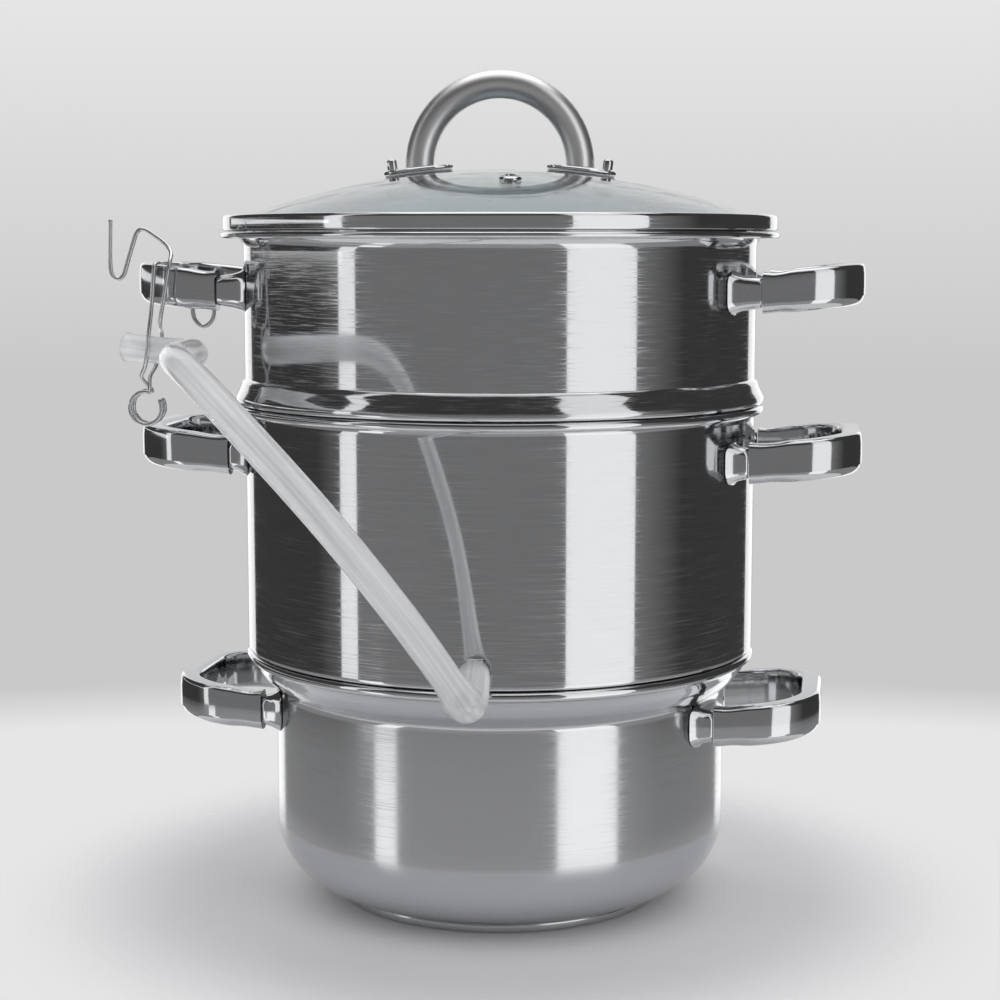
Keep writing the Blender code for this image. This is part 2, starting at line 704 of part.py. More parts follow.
def fruit_basket(body):
    """The fruit container: a plain upper wall and a perforated insert below its shoulder."""
    floor = FRUIT_FLOOR_Z
    seat = FRUIT_SEAT_Z
    flange = FRUIT_TOP_Z - STEEL_WALL
    path = [
        (RIM_SEAT_RADIUS, flange),
        (VESSEL_RADIUS + RIM_FLARE / 2, flange - RIM_FLARE / 4),
        (VESSEL_RADIUS, flange - RIM_FLARE),
        (VESSEL_RADIUS, seat + SHOULDER_HEIGHT),
        (SHOULDER_KNEE_RADIUS, seat + SHOULDER_KNEE_HEIGHT),
        (SHOULDER_RADIUS, seat + SHOULDER_FOOT_HEIGHT),
        (SHOULDER_RADIUS, seat + STEEL_WALL),
        (SHOULDER_RADIUS - SHOULDER_FOOT_INSET, seat),
        (INSERT_RADIUS + INSERT_NECK, seat),
        (INSERT_RADIUS, seat - INSERT_NECK),
    ]
    corner = (INSERT_RADIUS - INSERT_CORNER_RADIUS, floor + INSERT_CORNER_RADIUS)
    path += arc(corner, INSERT_CORNER_RADIUS, 0, -90, 3)
    path.append((0, floor))
    roll = (RIM_FLANGE_RADIUS, FRUIT_TOP_Z - RIM_ROLL_RADIUS)
    lip = arc(roll, RIM_ROLL_RADIUS, 90, -90, 2)
    basket = turned("fruit_basket", shell(path, STEEL_WALL, lip), steel("basket steel"), body)
    boolean(basket, as_cutter(wall_holes()))
    boolean(basket, as_cutter(floor_holes()))


def wall_holes():
    """Staggered upright slots, one in every second facet of the insert's wall in each row."""
    shape = bmesh.new()
    reach = INSERT_RADIUS * WALL_FACE_share
    for row in range(WALL_HOLE_ROWS):
        height = FRUIT_FLOOR_Z + WALL_HOLE_FIRST_HEIGHT + row * WALL_HOLE_PITCH
        for index in range(TURN_STEPS // 2):
            turn = 2 * math.pi * (index * 2 + row % 2 + 0.5) / TURN_STEPS
            place = Matrix.Rotation(turn, 4, "Z") @ Matrix.Translation((reach, 0, height))
            place @= Matrix.Diagonal((2 * OVERRUN, WALL_HOLE_WIDTH, WALL_HOLE_LENGTH, 1))
            bmesh.ops.create_cube(shape, size=1.0, matrix=place)
    mesh = bpy.data.meshes.new("wall_holes")
    shape.to_mesh(mesh)
    shape.free()
    return add("wall_holes", mesh, None)


def floor_holes():
    """Rings of round holes in the basket's floor."""
    shape = bmesh.new()
    places = [Matrix.Identity(4)]
    for ring in range(1, FLOOR_RINGS + 1):
        count = ring * FLOOR_HOLES_PER_RING
        for index in range(count):
            turn = Matrix.Rotation(2 * math.pi * (index + 0.5) / count, 4, "Z")
            places.append(turn @ Matrix.Translation((ring * FLOOR_RING_PITCH, 0, 0)))
    for place in places:
        bmesh.ops.create_cone(
            shape,
            cap_ends=True,
            segments=6,
            radius1=FLOOR_HOLE_RADIUS,
            radius2=FLOOR_HOLE_RADIUS,
            depth=2 * OVERRUN,
            matrix=Matrix.Translation((0, 0, FRUIT_FLOOR_Z)) @ place,
        )
    mesh = bpy.data.meshes.new("floor_holes")
    shape.to_mesh(mesh)
    shape.free()
    return add("floor_holes", mesh, None)


def handle_section():
    """The rounded outline that is swept along every side handle."""
    curve = bpy.data.curves.new("handle_section", "CURVE")
    curve.dimensions = "2D"
    inset_x = HANDLE_THICKNESS / 2 - HANDLE_EDGE_RADIUS
    inset_y = HANDLE_HEIGHT / 2 - HANDLE_EDGE_RADIUS
    points = []
    for quarter, (sx, sy) in enumerate(((1, 1), (-1, 1), (-1, -1), (1, -1))):
        start = 90 * quarter
        points += arc((sx * inset_x, sy * inset_y), HANDLE_EDGE_RADIUS, start, start + 90, HANDLE_EDGE_STEPS)
    points.reverse()
    spline = curve.splines.new("POLY")
    spline.points.add(len(points) - 1)
    for point, (x, y) in zip(spline.points, points):
        point.co = (x, y, 0, 1)
    spline.use_cyclic_u = True
    return as_cutter(add("handle_section", curve, None))


def handle(name, section, start, reach, height, turn, body):
    """A bent strap handle: two waisted arms and an outer bar, swept from one rounded section."""
    bar = reach - HANDLE_THICKNESS / 2
    bend = bar - HANDLE_CORNER_RADIUS
    arm = []
    for index, share in enumerate(HANDLE_WAIST_shares):
        x = start + (bend - start) * index / len(HANDLE_WAIST_shares)
        arm.append((x, -HANDLE_HALF_SPAN, share))
    corner = (bend, -HANDLE_HALF_SPAN + HANDLE_CORNER_RADIUS)
    arm += [(x, y, 1.0) for x, y in arc(corner, HANDLE_CORNER_RADIUS, -90, 0, HANDLE_CORNER_STEPS)]
    stations = arm + [(x, -y, share) for x, y, share in reversed(arm)]
    curve = bpy.data.curves.new(name, "CURVE")
    curve.dimensions = "3D"
    curve.twist_mode = "Z_UP"
    curve.bevel_mode = "OBJECT"
    curve.bevel_object = section
    curve.use_fill_caps = True
    spline = curve.splines.new("POLY")
    spline.points.add(len(stations) - 1)
    level = stations[1][0]
    for point, (x, y, share) in zip(spline.points, stations):
        rise = HANDLE_RISE * max(x - level, 0) / (bar - level)
        point.co = (x, y, rise, 1)
        point.radius = share
    thing = add(name, curve, steel(name + " steel"), body)
    pose(thing, Matrix.Translation((0, 0, height)) @ Matrix.Rotation(turn, 4, "Z"))


def arm_start(wall_radius, bracket_length):
    """Where a handle's arms begin, along the handle from the axis."""
    return math.sqrt(wall_radius**2 - HANDLE_HALF_SPAN**2) + bracket_length


def bracket(name, wall_cutter, wall_radius, start, height, turn, side, body):
    """A tapered pad that is welded to the wall and carries one end of a handle."""
    wall = math.sqrt(wall_radius**2 - HANDLE_HALF_SPAN**2)
    root = wall - BRACKET_WIDTH
    tip = start - FIT_GAP
    size = (tip - root, BRACKET_WIDTH, BRACKET_HEIGHT)
    thing = box(name, size, ((root + tip) / 2, side * HANDLE_HALF_SPAN, 0), steel(name + " steel"), body)
    for vertex in thing.data.vertices:
        if vertex.co.x > wall:
            vertex.co.y += (side * HANDLE_HALF_SPAN - vertex.co.y) * (1 - BRACKET_TIP_share)
            vertex.co.z *= BRACKET_TIP_share
    round_edges(thing, BRACKET_EDGE_ROUND)
    pose(thing, Matrix.Translation((0, 0, height)) @ Matrix.Rotation(turn, 4, "Z"))
    boolean(thing, wall_cutter)


def handles_of(tier, section, reach, wall_radius, bracket_length, height, body):
    """Both handles of one tier, each with its two brackets."""
    cutter = disc(
        tier + "_wall_clearance",
        wall_radius + FIT_GAP,
        height - BRACKET_HEIGHT,
        height + BRACKET_HEIGHT,
        None,
        sides=2 * TURN_STEPS,
    )
    as_cutter(cutter)
    start = arm_start(wall_radius, bracket_length)
    for side, half_turn, plus, minus in (("right", 0.0, "rear", "front"), ("left", math.pi, "front", "rear")):
        turn = math.radians(HANDLE_TURN_DEGREES) + half_turn
        handle(f"{tier}_handle_{side}", section, start, reach, height, turn, body)
        bracket(f"{tier}_bracket_{side}_{plus}", cutter, wall_radius, start, height, turn, 1, body)
        bracket(f"{tier}_bracket_{side}_{minus}", cutter, wall_radius, start, height, turn, -1, body)


def dome_frame(distance, turn):
    """Axes on the glass at a distance from the middle: Z along its normal, X outwards down the slope."""
    tilt = math.asin(distance / GLASS_SPHERE_RADIUS)
    centre = Matrix.Translation((0, 0, GLASS_TOP_Z - GLASS_SPHERE_RADIUS))
    out = Matrix.Translation((0, 0, GLASS_SPHERE_RADIUS))
    return centre @ Matrix.Rotation(turn, 4, "Z") @ Matrix.Rotation(tilt, 4, "Y") @ out


def lid(body):
    """The glass dome, the steel band round its brim and the steam vent."""
    band = [
        (BAND_LIP_RADIUS, BAND_Z + BAND_HEIGHT),
        (BAND_RADIUS - BAND_EDGE_ROUND, BAND_Z + BAND_HEIGHT),
        (BAND_RADIUS, BAND_Z + BAND_HEIGHT - BAND_EDGE_ROUND),
        (BAND_RADIUS, BAND_Z + BAND_EDGE_ROUND),
        (BAND_RADIUS - BAND_EDGE_ROUND, BAND_Z),
        (BAND_SKIRT_RADIUS, BAND_Z),
        (BAND_SKIRT_RADIUS, BAND_Z - BAND_SKIRT_DEPTH),
    ]
    turned("lid_band", shell(band, BAND_WALL), steel("band steel"), body)

    slope = math.degrees(math.asin(GLASS_DOME_RADIUS / GLASS_SPHERE_RADIUS))
    centre = (0, GLASS_TOP_Z - GLASS_SPHERE_RADIUS)
    top = arc(centre, GLASS_SPHERE_RADIUS, 90, 90 - slope, GLASS_DOME_STEPS)
    top[0] = (0, GLASS_TOP_Z)
    brim_top = GLASS_BRIM_Z + GLASS_THICKNESS
    edge = [
        (GLASS_RADIUS - GLASS_EDGE_ROUND, brim_top),
        (GLASS_RADIUS, brim_top - GLASS_EDGE_ROUND),
        (GLASS_RADIUS, GLASS_BRIM_Z + GLASS_EDGE_ROUND),
        (GLASS_RADIUS - GLASS_EDGE_ROUND, GLASS_BRIM_Z),
    ]
    under = arc(centre, GLASS_SPHERE_RADIUS - GLASS_THICKNESS, 90 - slope, 90, GLASS_DOME_STEPS)
    under[0] = (under[0][0], GLASS_BRIM_Z)
    under[-1] = (0, GLASS_TOP_Z - GLASS_THICKNESS)
    glass = turned("lid_glass", top + edge + under, finish("glass", (0.72, 0.80, 0.82), 0.05, 0.0, 1.0), body)

    front = dome_frame(VENT_DISTANCE, math.radians(VENT_TURN_DEGREES))
    hole = disc("vent_hole", VENT_SHANK_RADIUS + GLASS_HOLE_PLAY, -GLASS_THICKNESS - OVERRUN, OVERRUN, None)
    pose(hole, front)
    boolean(glass, as_cutter(hole))
    back = -GLASS_THICKNESS - FIT_GAP
    eyelet = [
        (VENT_BORE_RADIUS, FIT_GAP + VENT_FLANGE_HEIGHT),
        (VENT_SHANK_RADIUS, FIT_GAP + VENT_FLANGE_HEIGHT),
        (VENT_FLANGE_RADIUS, FIT_GAP + VENT_FLANGE_HEIGHT / 2),
        (VENT_FLANGE_RADIUS, FIT_GAP),
        (VENT_SHANK_RADIUS, FIT_GAP),
        (VENT_SHANK_RADIUS, back),
        (VENT_BACK_RADIUS, back),
        (VENT_BACK_RADIUS, back - VENT_BACK_HEIGHT),
        (VENT_BORE_RADIUS, back - VENT_BACK_HEIGHT),
    ]
    vent = turned("steam_vent", eyelet, steel("vent steel"), body, SMALL_TURN_STEPS)
    pose(vent, front)
    lid_handle(body, glass)


def rounded_plate(name, length, width, thickness, corner, bottom, material, body):
    """A flat plate with rounded corners, about its own origin, standing on the given height."""
    curve = bpy.data.curves.new(name, "CURVE")
    curve.dimensions = "2D"
    curve.fill_mode = "BOTH"
    curve.extrude = thickness / 2
    points = []
    for quarter, (sx, sy) in enumerate(((1, 1), (-1, 1), (-1, -1), (1, -1))):
        centre = (sx * (length / 2 - corner), sy * (width / 2 - corner))
        points += arc(centre, corner, 90 * quarter, 90 * quarter + 90, 2)
    spline = curve.splines.new("POLY")
    spline.points.add(len(points) - 1)
    for point, (x, y) in zip(spline.points, points):
        point.co = (x, y, 0, 1)
    spline.use_cyclic_u = True
    thing = meshed(add(name, curve, None, body))
    thing.data.materials.append(material)
    pose(thing, Matrix.Translation((FOOT_SHIFT, 0, bottom + thickness / 2)))
    return thing


def lid_handle(body, glass):
    """The arched tube on its two feet, with a gasket, a bolt, a washer and a nut at each foot."""
    gasket_z = FIT_GAP
    foot_z = gasket_z + GASKET_THICKNESS + FIT_GAP
    tube_z = foot_z + FOOT_THICKNESS + FIT_GAP
    head_z = tube_z + BOLT_OFFSET**2 / (2 * GLASS_SPHERE_RADIUS)
    washer_z = -GLASS_THICKNESS - FIT_GAP - LID_WASHER_THICKNESS
    nut_z = washer_z - FIT_GAP - LID_NUT_THICKNESS
    hole = BOLT_SHANK_RADIUS + GLASS_HOLE_PLAY
    for side, turn in (("right", 0.0), ("left", math.pi)):
        frame = dome_frame(ARCH_HALF_SPAN, turn)
        bolt_angle = math.asin(ARCH_HALF_SPAN / GLASS_SPHERE_RADIUS) + BOLT_OFFSET / GLASS_SPHERE_RADIUS
        at_bolt = dome_frame(GLASS_SPHERE_RADIUS * math.sin(bolt_angle), turn)
        drill = disc(f"lid_bolt_hole_{side}", hole, nut_z - OVERRUN, head_z + OVERRUN, None)
        pose(drill, at_bolt)
        as_cutter(drill)
        foot = rounded_plate(
            f"lid_foot_{side}",
            FOOT_LENGTH,
            FOOT_WIDTH,
            FOOT_THICKNESS,
            FOOT_CORNER_RADIUS,
            foot_z,
            steel("foot steel"),
            body,
        )
        gasket = rounded_plate(
            f"lid_gasket_{side}",
            FOOT_LENGTH - 2 * GASKET_INSET,
            FOOT_WIDTH - 2 * GASKET_INSET,
            GASKET_THICKNESS,
            FOOT_CORNER_RADIUS - GASKET_INSET,
            gasket_z,
            silicone("gasket"),
            body,
        )
        for plate in (foot, gasket):
            pose(plate, frame)
            boolean(plate, drill)
        boolean(glass, drill)
        head_top = head_z + BOLT_HEAD_HEIGHT
        bolt = disc(f"lid_bolt_{side}", BOLT_HEAD_RADIUS, head_z, head_top, steel("bolt steel"), body)
        shank_low = nut_z - BOLT_OVERHANG
        shank = disc(f"lid_bolt_shank_{side}", BOLT_SHANK_RADIUS, shank_low, head_z + BOLT_OVERHANG, None)
        boolean(bolt, as_cutter(shank), "UNION")
        washer = disc(
            f"lid_washer_{side}",
            LID_WASHER_RADIUS,
            washer_z,
            washer_z + LID_WASHER_THICKNESS,
            silicone("washer"),
            body,
            bore=hole,
        )
        nut_top = nut_z + LID_NUT_THICKNESS
        nut = disc(f"lid_nut_{side}", LID_NUT_RADIUS, nut_z, nut_top, steel("nut"), body, sides=6, bore=hole)
        for piece in (bolt, shank, washer, nut):
            pose(piece, at_bolt)

    foot_top = dome_frame(ARCH_HALF_SPAN, 0.0) @ Vector((0, 0, tube_z))
    tilt = math.asin(ARCH_HALF_SPAN / GLASS_SPHERE_RADIUS)
    points = []
    for step in range(ARCH_STEPS + 1):
        angle = math.pi * step / ARCH_STEPS
        points.append((foot_top.x * math.cos(angle), 0, foot_top.z + ARCH_HEIGHT * math.sin(angle)))
    lead = ARCH_TUBE_RADIUS / 2
    first = (points[0][0] + lead * math.sin(tilt), 0, points[0][2] + lead * math.cos(tilt))
    last = (-first[0], 0, first[2])
    points = [points[0], first, *points[2:-2], last, points[-1]]
    wire_curve("lid_handle", points, ARCH_TUBE_RADIUS, 3, satin_steel("arch steel"), body)


def build():
    """Builds every tier about the common lift axis."""
    clear_scene()
    pot = body_empty("pot_body", 0)
    juice = body_empty("juice_body", JUICE_SEAT_Z)
    fruit = body_empty("fruit_body", FRUIT_SEAT_Z)
    cover = body_empty("lid_body", BAND_Z)
    juice.parent = pot
    fruit.parent = juice
    fruit.location.z -= juice.location.z
    cover.parent = fruit
    cover.location.z -= FRUIT_SEAT_Z
    bpy.context.view_layer.update()

    water_pot(pot)
    juice_vessel(juice)
    start, away = spout(juice)
    hose(juice, start, away)
    fruit_basket(fruit)
    clamp(fruit)
    section = handle_section()
    pot_height = POT_TOP_Z - POT_HANDLE_DROP
    juice_height = JUICE_TOP_Z - JUICE_HANDLE_DROP
    handles_of("pot", section, POT_HANDLE_REACH, POT_RADIUS, SHORT_BRACKET_LENGTH, pot_height, pot)
    handles_of("juice", section, HANDLE_REACH, VESSEL_RADIUS, SHORT_BRACKET_LENGTH, juice_height, juice)
    handles_of("fruit", section, HANDLE_REACH, VESSEL_RADIUS, BRACKET_LENGTH, FRUIT_HANDLE_Z, fruit)
    lid(cover)


build()
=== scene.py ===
"""Looks of the steam juicer: finishes, fine shapes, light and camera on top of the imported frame.

Lengths are in metres in the same frame as the CAD: +Z is up, -Y is the front.
"""

from __future__ import annotations

import logging
import math
from dataclasses import dataclass, field
from enum import Enum
from typing import Any, Callable, Iterable, Sequence

import bpy
from mathutils import Matrix, Vector

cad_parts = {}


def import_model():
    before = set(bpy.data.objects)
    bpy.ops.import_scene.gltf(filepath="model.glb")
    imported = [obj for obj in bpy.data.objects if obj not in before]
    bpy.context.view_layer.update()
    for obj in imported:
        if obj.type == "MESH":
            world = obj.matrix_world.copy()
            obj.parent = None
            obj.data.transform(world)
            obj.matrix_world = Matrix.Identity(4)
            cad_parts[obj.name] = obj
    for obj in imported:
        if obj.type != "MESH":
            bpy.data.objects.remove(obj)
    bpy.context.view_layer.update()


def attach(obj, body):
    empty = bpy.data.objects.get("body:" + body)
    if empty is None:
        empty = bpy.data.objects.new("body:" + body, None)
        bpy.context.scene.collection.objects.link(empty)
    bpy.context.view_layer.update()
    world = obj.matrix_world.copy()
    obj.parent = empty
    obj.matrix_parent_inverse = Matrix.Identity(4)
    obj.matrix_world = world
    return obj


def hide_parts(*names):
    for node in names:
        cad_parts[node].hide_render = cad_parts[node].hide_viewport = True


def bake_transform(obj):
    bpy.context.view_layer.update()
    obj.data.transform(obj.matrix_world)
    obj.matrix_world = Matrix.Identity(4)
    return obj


LOG = logging.getLogger("steam_juicer")

Point = tuple[float, float, float]
Profile = list[tuple[float, float]]

FIT_GAP = 0.0003
SHEET = 0.0009
POT_FLOOR_Z = 0.0045
POT_TOP_Z = 0.1095
JUICE_SEAT_Z = 0.1098
JUICE_FLOOR_Z = 0.1053
JUICE_TOP_Z = 0.2153
FRUIT_SEAT_Z = 0.2156
FRUIT_FLOOR_Z = 0.1726
FRUIT_TOP_Z = 0.2876
BAND_Z = 0.2879


class Body(Enum):
    """The four tiers that lift off each other."""

    POT = "pot_tier"
    JUICE = "juice_tier"
    FRUIT = "fruit_tier"
    LID = "lid_tier"


class Slot(Enum):
    """The record's material slots."""

    POLISHED = "polished_steel"
    SATIN = "satin_steel"
    GLASS = "lid_glass"
    SILICONE = "silicone"


# Materials


def linear(code: str) -> tuple[float, float, float, float]:
    """Turns an sRGB hex colour to linear.

    Args:
        code: six hex digits, such as "C8C9CB".

    Returns:
        Linear red, green, blue and an alpha of 1.
    """
    values = [int(code[index : index + 2], 16) / 255 for index in (0, 2, 4)]
    red, green, blue = (v / 12.92 if v <= 0.04045 else ((v + 0.055) / 1.055) ** 2.4 for v in values)
    return (red, green, blue, 1.0)


def node(tree: bpy.types.NodeTree, kind: str, inputs: dict[Any, Any] | None = None, **settings: Any) -> Any:
    """Adds a node with its settings, and sets or links its inputs.

    Args:
        tree: the node tree that gets the node.
        kind: the node's type name.
        inputs: input names or numbers with a value, or with a socket to link from.
        **settings: the node's own properties.

    Returns:
        The new node.
    """
    made = tree.nodes.new(kind)
    for name, value in settings.items():
        setattr(made, name, value)
    for name, value in (inputs or {}).items():
        socket = made.inputs[name]
        if isinstance(value, bpy.types.NodeSocket):
            tree.links.new(value, socket)
        else:
            socket.default_value = value
    return made


def blank_material(name: str) -> tuple[bpy.types.Material, bpy.types.NodeTree, Any]:
    """A material with a Principled shader and nothing else.

    Args:
        name: the material's name.

    Returns:
        The material, its node tree and its shader.
    """
    material = bpy.data.materials.new(name)
    material.use_nodes = True
    tree = material.node_tree
    shader = next(n for n in tree.nodes if n.type == "BSDF_PRINCIPLED")
    return material, tree, shader


@dataclass(frozen=True)
class BrushedSteel:
    """Stainless sheet, drawn, then polished or brushed round on a lathe.

    The grain runs round the vessel, so a lamp's image stays sharp sideways and smears up and down.

    Attributes:
        name: the material and how its surface was made.
        colour: the steel's own colour.
        roughness: the polish, 0 for a mirror.
        grain: how much the polish varies from line to line.
        stretch: how much further a lamp's image smears across the grain than along it.
        grain_mm: how wide a grain line is drawn. Real grit lines are 0.02 mm wide, too fine to show at all.
        streak_mm: how long a grain line is.
        relief_mm: how deep the lines are drawn.
        scratched: how much rougher the deeper scratches are.
    """

    name: str
    colour: str
    roughness: float
    grain: float
    stretch: float
    grain_mm: float = 0.45
    streak_mm: float = 38.0
    relief_mm: float = 0.004
    scratched: float = 0.0

    def material(self) -> bpy.types.Material:
        """Builds the steel with its grain in roughness, colour and relief.

        Returns:
            The material.
        """
        material, tree, shader = blank_material(self.name)
        shader.inputs["Metallic"].default_value = 1.0
        shader.inputs["Anisotropic"].default_value = self.stretch
        shader.inputs["Anisotropic Rotation"].default_value = 0.25
        uv = node(tree, "ShaderNodeTexCoord").outputs["UV"]
        fine_scale = (1000 / self.streak_mm, 1000 / self.grain_mm, 1.0)
        fine_place = node(tree, "ShaderNodeMapping", {"Vector": uv, "Scale": fine_scale})
        fine = node(
            tree,
            "ShaderNodeTexNoise",
            {"Vector": fine_place.outputs[0], "Scale": 1.0, "Detail": 3.0, "Roughness": 0.6},
        )
        # broad uneven passes of the polishing wheel, about 9 mm apart
        broad_place = node(tree, "ShaderNodeMapping", {"Vector": uv, "Scale": (6.0, 110.0, 1.0)})
        broad = node(tree, "ShaderNodeTexNoise", {"Vector": broad_place.outputs[0], "Scale": 1.0, "Detail": 2.0})
        mixed = node(
            tree,
            "ShaderNodeMath",
            {0: fine.outputs["Fac"], 1: broad.outputs["Fac"]},
            operation="ADD",
        )
        rough = node(
            tree,
            "ShaderNodeMapRange",
            {
                "Value": mixed.outputs[0],
                "From Min": 0.6,
                "From Max": 1.4,
                "To Min": max(self.roughness - self.grain, 0.02),
                "To Max": self.roughness + self.grain,
            },
        )
        if self.scratched:
            # the wheel's deeper scratches scatter light, so the dark bands turn grey and grainy there
            scratch = node(
                tree,
                "ShaderNodeMapRange",
                {
                    "Value": fine.outputs["Fac"],
                    "From Min": 0.50,
                    "From Max": 0.64,
                    "To Max": self.scratched,
                },
            )
            rough = node(
                tree, "ShaderNodeMath", {0: rough.outputs["Result"], 1: scratch.outputs["Result"]}, operation="ADD"
            )
        tree.links.new(rough.outputs[0], shader.inputs["Roughness"])
        base = linear(self.colour)
        dull = tuple(channel * 0.86 for channel in base[:3]) + (1.0,)
        tone = node(
            tree,
            "ShaderNodeMix",
            {"Factor": fine.outputs["Fac"], "A": dull, "B": base},
            data_type="RGBA",
        )
        tree.links.new(tone.outputs["Result"], shader.inputs["Base Color"])
        relief = node(
            tree,
            "ShaderNodeBump",
            {"Height": fine.outputs["Fac"], "Strength": 0.35, "Distance": self.relief_mm / 1000},
        )
        tree.links.new(relief.outputs[0], shader.inputs["Normal"])
        tangent = node(tree, "ShaderNodeTangent", direction_type="UV_MAP")
        tree.links.new(tangent.outputs[0], shader.inputs["Tangent"])
        return material


@dataclass(frozen=True)
class ClearGlass:
    """Tempered soda-lime glass, pressed to a dome and fire polished."""

    name: str = "tempered soda-lime glass"
    colour: str = "D4DDE0"
    roughness: float = 0.03

    def material(self) -> bpy.types.Material:
        """Builds the glass, with the faint ripple of a pressed surface.

        Returns:
            The material.
        """
        material, tree, shader = blank_material(self.name)
        shader.inputs["Base Color"].default_value = linear(self.colour)
        shader.inputs["Transmission Weight"].default_value = 1.0
        shader.inputs["IOR"].default_value = 1.52
        place = node(tree, "ShaderNodeTexCoord").outputs["Object"]
        # pressed glass ripples over 10 to 20 mm
        ripple = node(tree, "ShaderNodeTexNoise", {"Vector": place, "Scale": 1000 / 14, "Detail": 1.0})
        rough = node(
            tree,
            "ShaderNodeMapRange",
            {"Value": ripple.outputs["Fac"], "To Min": self.roughness * 0.4, "To Max": self.roughness * 1.6},
        )
        tree.links.new(rough.outputs["Result"], shader.inputs["Roughness"])
        relief = node(
            tree, "ShaderNodeBump", {"Height": ripple.outputs["Fac"], "Strength": 0.12, "Distance": 0.0006}
        )
        tree.links.new(relief.outputs[0], shader.inputs["Normal"])
        return material


@dataclass(frozen=True)
class MilkySilicone:
    """Platinum-cured silicone rubber, extruded or moulded: cloudy, soft and half clear."""

    name: str
    colour: str
    clear: float
    roughness: float

    def material(self) -> bpy.types.Material:
        """Builds the silicone, with the die's lengthwise lines.

        Returns:
            The material.
        """
        material, tree, shader = blank_material(self.name)
        shader.inputs["Transmission Weight"].default_value = self.clear
        shader.inputs["IOR"].default_value = 1.41
        shader.inputs["Subsurface Weight"].default_value = 0.25
        shader.inputs["Subsurface Radius"].default_value = (0.004, 0.0042, 0.0045)
        shader.inputs["Subsurface Scale"].default_value = 1.0
        uv = node(tree, "ShaderNodeTexCoord").outputs["UV"]
        # die lines run along the hose, a millimetre or two apart
        lines_place = node(tree, "ShaderNodeMapping", {"Vector": uv, "Scale": (7.0, 430.0, 1.0)})
        lines = node(tree, "ShaderNodeTexNoise", {"Vector": lines_place.outputs[0], "Scale": 1.0, "Detail": 2.0})
        rough = node(
            tree,
            "ShaderNodeMapRange",
            {"Value": lines.outputs["Fac"], "To Min": self.roughness - 0.08, "To Max": self.roughness + 0.08},
        )
        tree.links.new(rough.outputs["Result"], shader.inputs["Roughness"])
        base = linear(self.colour)
        cloudy = tuple(channel * 0.84 for channel in base[:3]) + (1.0,)
        sharp = node(tree, "ShaderNodeMapRange", {"Value": lines.outputs["Fac"], "From Min": 0.40, "From Max": 0.60})
        tone = node(
            tree, "ShaderNodeMix", {"Factor": sharp.outputs["Result"], "A": cloudy, "B": base}, data_type="RGBA"
        )
        tree.links.new(tone.outputs["Result"], shader.inputs["Base Color"])
        return material


class Finishes:
    """Every finish of the juicer, made once."""

    def __init__(self) -> None:
        """Builds the materials."""
        # mirror-polished walls: sharp bands of light, with grain that shows only where they are dark
        self.wall = BrushedSteel(
            "mirror-polished stainless steel",
            "D6D7D9",
            roughness=0.06,
            grain=0.02,
            stretch=0.5,
            streak_mm=30.0,
            relief_mm=0.003,
            scratched=0.12,
        ).material()
        # the fruit basket's wall: the same sheet with a fine brushed grain left in it
        self.brushed = BrushedSteel(
            "fine-brushed stainless steel",
            "D4D5D7",
            roughness=0.07,
            grain=0.03,
            stretch=0.5,
            grain_mm=0.5,
            streak_mm=18.0,
            relief_mm=0.005,
            scratched=0.17,
        ).material()
        # the pot's satin body: the same bands with soft edges, and a paler grey between them
        self.satin = BrushedSteel(
            "satin-brushed stainless steel",
            "D2D3D5",
            roughness=0.13,
            grain=0.02,
            stretch=0.2,
            relief_mm=0.001,
            scratched=0.10,
        ).material()
        # inside of the vessels: duller, unpolished drawn sheet
        self.inside = BrushedSteel(
            "drawn stainless steel", "BFC0C2", roughness=0.36, grain=0.06, stretch=0.3
        ).material()
        # pressed fittings: tumbled bright, with no grain direction
        self.fitting = BrushedSteel(
            "tumble-polished stainless steel",
            "D2D3D5",
            roughness=0.10,
            grain=0.03,
            stretch=0.0,
            grain_mm=1.6,
            streak_mm=1.6,
        ).material()
        # hollow handles: buffed along their length
        self.handle = BrushedSteel(
            "buffed stainless steel",
            "D2D3D5",
            roughness=0.09,
            grain=0.03,
            stretch=0.2,
            grain_mm=0.7,
            streak_mm=30.0,
        ).material()
        # the lid's arch: satin tube, which shows soft lengthwise bands
        self.arch = BrushedSteel(
            "satin-buffed steel tube",
            "F0F0F1",
            roughness=0.36,
            grain=0.05,
            stretch=0.3,
            grain_mm=0.5,
            streak_mm=18.0,
        ).material()
        # spring wire: bright drawn, with die lines along it
        self.wire = BrushedSteel(
            "bright-drawn spring steel",
            "E0E1E3",
            roughness=0.24,
            grain=0.05,
            stretch=0.3,
            grain_mm=0.3,
            streak_mm=12.0,
        ).material()
        # the dome: clear and faintly grey-green, with a slow ripple in what it mirrors
        self.glass = ClearGlass().material()
        # the hose: milky and half clear, with bright and dull lines along it
        self.hose = MilkySilicone("extruded silicone rubber", "FCFDFE", clear=0.62, roughness=0.15).material()
        # gaskets and seal: the same rubber, moulded, cloudier and matt
        self.gasket = MilkySilicone("moulded silicone rubber", "E6EAED", clear=0.35, roughness=0.42).material()


# Shapes


